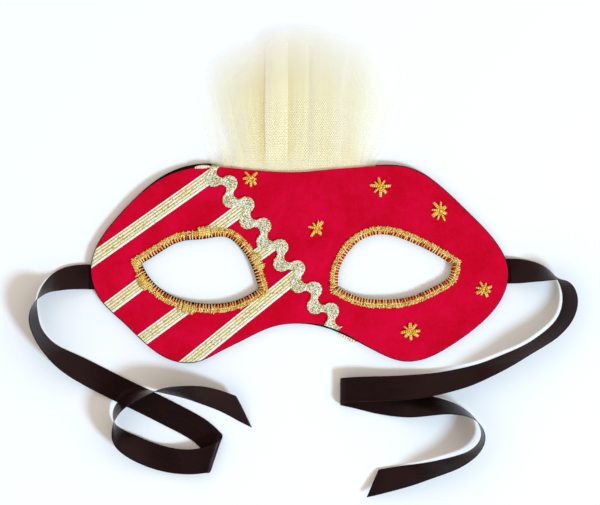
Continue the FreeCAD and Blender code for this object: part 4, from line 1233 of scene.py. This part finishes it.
def net_sheet(name, pleats, low, high, rays, material, generator):
    """A gathered net: straight rays from the seam to the loose edge, with values between
    the given rays in straight proportion. A ray's point is moved sideways by the sine of
    its pleat phase and up by the cosine, by amounts that grow from the seam to half its
    length, and it is lifted by its fold. The tone is how dense the net looks, which fades
    towards the loose edge, and the shade is how golden it looks: partly the net's own
    colour where it lies thick, partly painted shade in its folds. Both rise and fall a
    little with the sine of the pleat phase: painted shade on the pleats' sides."""
    columns, rows = 640, 70
    across = np.linspace(0, 1, columns)
    along = np.linspace(0, 1, rows)[:, None]
    share, *values = np.array(rays).T
    foot, rim_x, rim_y, cover, gold, lift = (np.interp(across, share, value) for value in values)
    knots = np.cumsum(generator.uniform(0.5, 1.5, pleats + 1))
    knots = (knots - knots[0]) / (knots[-1] - knots[0])
    phase = np.interp(across, knots, np.arange(pleats + 1)) * 2 * math.pi
    start = np.stack([foot, np.full(columns, SEAM[1] / MM - NET_DEPTH)], 1)
    stop = np.stack([rim_x, rim_y + SEAM[1] / MM], 1)
    ragged = np.convolve(generator.normal(0, 1, columns + 80), np.ones(81) / 9.0, "valid")[:columns]
    stop[:, 1] -= 0.6 * np.abs(ragged)
    gathered = 0.3 + 0.7 * eased(along / 0.5)
    phase = phase + along * np.sin(across * 7 + low)
    sway = gathered * 0.9 * np.sin(phase) + 0.6 * np.sin(math.pi * along) * np.sin(across * 9 + low)
    flat = start[None] + (stop - start)[None] * along[..., None]
    flat[..., 0] += sway
    level = low + (high - low) * along + 0.35 * gathered * np.cos(phase)
    level += lift[None] * np.clip(along / 0.25, 0, 1)
    clear = eased((along * np.linalg.norm(stop - start, axis=1) - NET_DEPTH + 1.0) / 6.0)
    seam = SEAM_LEVEL / MM + 0.16 + 0.05 * np.cos(phase)
    level = seam + (np.maximum(level, 0.35) - seam) * clear
    points = at_height(flat, level) * MM
    cloth = run_along(points)[rows // 2]
    height = np.linalg.norm(stop - start, axis=1) * MM
    uv = np.stack(np.broadcast_arrays(cloth[None], along * height[None]), -1)
    at_foot = np.exp(-np.clip(along - 0.1, 0, 1) / 0.07)
    fade = np.interp(along, [0, 0.2, 0.6, 0.82, 1.0], [1.0, 1.0, 0.88, 0.5, 0.12])
    tone = (cover[None] + (0.45 - cover[None]) * at_foot) * fade * (1 + 0.10 * np.sin(phase + 0.7))
    piece = mesh_piece(name, [grid_patch(points, uv, np.clip(tone, 0.02, 1).ravel())], material)
    strength = np.interp(along, [0, 0.15, 0.7, 1.0], [0.3, 1.0, 0.9, 0.35])
    # the shade: golden share along the ray, partly own colour and partly painted fold shade, plus painted
    # shade that follows the pleats' sides
    store(piece.data, "shade", np.clip(gold[None] * strength + 0.1 * np.sin(phase), 0, 1).ravel())
    area = sum(face.area for face in piece.data.polygons)
    return piece, cloth[-1], area / cloth[-1]


# --- operators --------------------------------------------------------------------------


def finish_piece(piece, nodes=(), body="mask"):
    """Rides the piece on its body, and stands it for its CAD nodes."""
    if body:
        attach(piece, body)
    if nodes:
        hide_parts(*nodes)


def cad_material(node, material):
    """Gives a CAD node its material and slot."""
    piece = frame["nodes"][node]
    piece.data.materials.clear()
    piece.data.materials.append(material)


def seeded(number):
    """A random generator with its own seed."""
    return np.random.default_rng(number)


def gold_thread(colours, name, sparkle):
    """Gold embroidery thread, made once for each name."""
    made = bpy.data.materials.get(name)
    return made or thread_material(name, colours.gold_shade, colours.gold, colours.gold_pale,
                                   0.30, 1100.0, 1300.0, sparkle)


class MASK_OT_stage(bpy.types.Operator):
    """Camera from above, pale table, soft studio light from the lower right"""

    bl_idname = "mask.stage"
    bl_label = "Lay the Stage"

    def execute(self, context):
        scene = context.scene
        scene.view_settings.view_transform = "Standard"
        lens = bpy.data.cameras.new("camera")
        lens.sensor_width = 36
        lens.lens = lens.sensor_width * CAMERA_HEIGHT / VIEW_WIDTH
        lens.dof.use_dof = False
        camera = link("camera", lens)
        camera.location = (0.0002, -0.0028, CAMERA_HEIGHT)
        scene.camera = camera
        world = bpy.data.worlds.new("studio")
        world.use_nodes = True
        tree = world.node_tree
        parts = tree.nodes.new("ShaderNodeSeparateXYZ")
        tree.links.new(socket(tree, "ShaderNodeTexCoord", {}, output=0), parts.inputs[0])
        rise = stretched(tree, parts.outputs[2], 0.80, 0.96)
        sky = mixed(tree, rise, (1.0, 0.90, 0.78, 1), (0.24, 0.19, 0.15, 1))
        background = tree.nodes["Background"]
        tree.links.new(sky, background.inputs["Color"])
        background.inputs["Strength"].default_value = 0.90
        scene.world = world
        light = bpy.data.lights.new("window", "AREA")
        light.shape = "DISK"
        light.size = 0.75
        light.energy = 126.0
        light.color = (0.56, 0.80, 1.0)
        window = link("window", light)
        window.location = (2.25, -1.9, 2.2)
        window.rotation_euler = Vector(window.location).to_track_quat("Z", "Y").to_euler()
        floor_mesh = bpy.data.meshes.new("table")
        around = ((-1, -1), (1, -1), (1, 1), (-1, 1))
        corners = [(x * TABLE_REACH, y * TABLE_REACH, TABLE_LEVEL) for x, y in around]
        floor_mesh.from_pydata(corners, [], [(0, 1, 2, 3)])
        table = link("table", floor_mesh)
        material, tree, shader = new_material("table_top", Roughness=0.9, Specular_IOR_Level=0.1)
        shader.inputs["Base Color"].default_value = colour4(scene.mask_colours.floor)
        floor_mesh.materials.append(material)
        return {"FINISHED"}


class MASK_OT_ribbons(bpy.types.Operator):
    """Two satin tie ribbons that leave the tabs and lie curled on the table"""

    bl_idname = "mask.ribbons"
    bl_label = "Lay the Ribbons"

    def execute(self, context):
        sizes, colours = context.scene.mask_sizes, context.scene.mask_colours
        satin = satin_material("black_satin", colours.satin, own_uv)
        for name, rows, exit_x, side, cut in (
            ("tie_ribbon_left", LEFT_RIBBON, LEFT_EXIT, -1, LEFT_CUT),
            ("tie_ribbon_right", RIGHT_RIBBON, RIGHT_EXIT, 1, RIGHT_CUT),
        ):
            piece, centre, length = ribbon_piece(name, rows, exit_x, side, sizes, satin, math.radians(cut))
            finish_piece(piece, [name])
        tab = satin_material("black_satin_tabs", colours.satin, object_place)
        for node in ("ribbon_tab_right", "ribbon_tab_left"):
            cad_material(node, tab)
        return {"FINISHED"}


class MASK_OT_panels(bpy.types.Operator):
    """Felt front, stiff core and black lining, cut to one outline with two eye holes"""

    bl_idname = "mask.panels"
    bl_label = "Cut the Panels"

    def execute(self, context):
        sizes, colours = context.scene.mask_sizes, context.scene.mask_colours
        red = felt_material("red_felt", colours.felt, colours.felt_deep, colours.felt_pale, 0.04)
        black = felt_material("black_felt", colours.lining, [value * 0.6 for value in colours.lining],
                              [value * 3 for value in colours.lining], 0.05)
        front = cut_sheet("front_felt", [front_outline(), eye_outline(RIGHT_EYE), eye_outline(LEFT_EYE)],
                          SEAM_LEVEL, FRONT_TOP, sizes.edge_radius, red)
        finish_piece(front, ["front_panel"])
        lining = cut_sheet("lining_felt", [lining_outline(), eye_outline(RIGHT_EYE, distance=-SEAM_ALLOWANCE),
                                           eye_outline(LEFT_EYE, distance=-SEAM_ALLOWANCE)],
                           0.0, SEAM_LEVEL, sizes.edge_radius, black)
        finish_piece(lining, ["lining"])
        cad_material("stiffener_core", interfacing_material())
        return {"FINISHED"}


class MASK_OT_stripes(bpy.types.Operator):
    """Metallic trim in four slanted stripes"""

    bl_idname = "mask.stripes"
    bl_label = "Sew the Stripes"

    def execute(self, context):
        sizes, colours = context.scene.mask_sizes, context.scene.mask_colours
        material = stripe_material(colours)
        edge = front_outline(900)
        stations = np.linspace(-9.5, 9.5, 400)
        loops = [closed(edge), braid_place(stations, stations * 0, sizes.braid_width)]
        loops += [closed(eye_outline(lids, distance=STRIPE_CLEAR)) for lids in (RIGHT_EYE, LEFT_EYE)]
        margins = [STRIPE_TURN, 0.0, 0.0, 0.0]
        for anchor, slope, parts in STRIPES:
            for name, inside in parts:
                patch = stripe_patch(anchor, slope, inside, sizes.stripe_width, loops, margins, edge)
                piece = mesh_piece(name + "_trim", [patch], material)
                finish_piece(piece, [name])
        return {"FINISHED"}


class MASK_OT_braid(bpy.types.Operator):
    """Cream rickrack plaited from glittering strands"""

    bl_idname = "mask.braid"
    bl_label = "Sew the Braid"

    def execute(self, context):
        sizes, colours = context.scene.mask_sizes, context.scene.mask_colours
        material = thread_material("cream_braid", colours.braid_shade, colours.braid, colours.braid_pale,
                                   0.34, 700.0, 850.0, 0.7)
        patches = braid_patches(sizes, front_outline(900), seeded(5))
        patches.append(braid_tail(lining_outline(900), *BRAID_TAIL, 0.0017, 0.0011))
        patches.append(braid_tail(front_outline(900), *BRAID_HEAD, 0.0010, FRONT_TOP + 0.0001))
        piece = mesh_piece("rickrack_strands", patches, material)
        finish_piece(piece, ["rickrack_braid"])
        return {"FINISHED"}


class MASK_OT_eyes(bpy.types.Operator):
    """Gold stitching round both eye holes"""

    bl_idname = "mask.eyes"
    bl_label = "Stitch the Eye Holes"

    def execute(self, context):
        sizes, colours = context.scene.mask_sizes, context.scene.mask_colours
        eyes = (("eye_stitching_right", RIGHT_EYE, 11), ("eye_stitching_left", LEFT_EYE, 12))
        for name, lids, seed in eyes:
            patches = eye_stitch_patches(lids, sizes, seeded(seed))
            piece = mesh_piece(name + "_threads", patches, gold_thread(colours, "gold_edging", 0.30))
            finish_piece(piece, [name])
        return {"FINISHED"}


class MASK_OT_stars(bpy.types.Operator):
    """Six embroidered stars"""

    bl_idname = "mask.stars"
    bl_label = "Embroider the Stars"

    def execute(self, context):
        colours = context.scene.mask_colours
        for number, (name, (centre, arms)) in enumerate(STARS.items()):
            patches = star_patches(centre, arms, seeded(20 + number))
            piece = mesh_piece(name + "_threads", patches, gold_thread(colours, "gold_stars", 0.12))
            finish_piece(piece, [name])
        return {"FINISHED"}


class MASK_OT_net(bpy.types.Operator):
    """A fan of three gathered layers of glitter net, sewn in at the brow"""

    bl_idname = "mask.net"
    bl_label = "Gather the Net"

    def execute(self, context):
        sizes, colours = context.scene.mask_sizes, context.scene.mask_colours
        material = net_material(colours, sizes)
        for number, (name, nodes, *shape) in enumerate(NET_LAYERS):
            piece, width, length = net_sheet(name, *shape, material, seeded(40 + number))
            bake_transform(piece)
            finish_piece(piece, nodes, body=None)
        return {"FINISHED"}


class MASK_PT_panel(bpy.types.Panel):
    """The mask's buttons and settings"""

    bl_label = "Masquerade Mask"
    bl_space_type = "VIEW_3D"
    bl_region_type = "UI"
    bl_category = "Mask"

    def draw(self, context):
        for operator in OPERATORS:
            self.layout.operator(operator.bl_idname)
        for settings in (context.scene.mask_sizes, context.scene.mask_colours):
            box = self.layout.box()
            for key in type(settings).__annotations__:
                box.prop(settings, key)


OPERATORS = (MASK_OT_stage, MASK_OT_ribbons, MASK_OT_panels, MASK_OT_stripes, MASK_OT_braid,
             MASK_OT_eyes, MASK_OT_stars, MASK_OT_net)
CLASSES = (MaskSizes, MaskColours, *OPERATORS, MASK_PT_panel)


def register():
    """Adds the add-on's classes and settings."""
    for item in CLASSES:
        bpy.utils.register_class(item)
    bpy.types.Scene.mask_sizes = PointerProperty(type=MaskSizes)
    bpy.types.Scene.mask_colours = PointerProperty(type=MaskColours)


def unregister():
    """Takes them away again."""
    del bpy.types.Scene.mask_colours
    del bpy.types.Scene.mask_sizes
    for item in reversed(CLASSES):
        bpy.utils.unregister_class(item)


def main():
    """Builds every piece."""
    register()
    bpy.ops.mask.stage()
    bpy.ops.mask.ribbons()
    bpy.ops.mask.panels()
    bpy.ops.mask.stripes()
    bpy.ops.mask.braid()
    bpy.ops.mask.eyes()
    bpy.ops.mask.stars()
    bpy.ops.mask.net()
    bpy.context.view_layer.update()


if __name__ == "__main__":
    main()
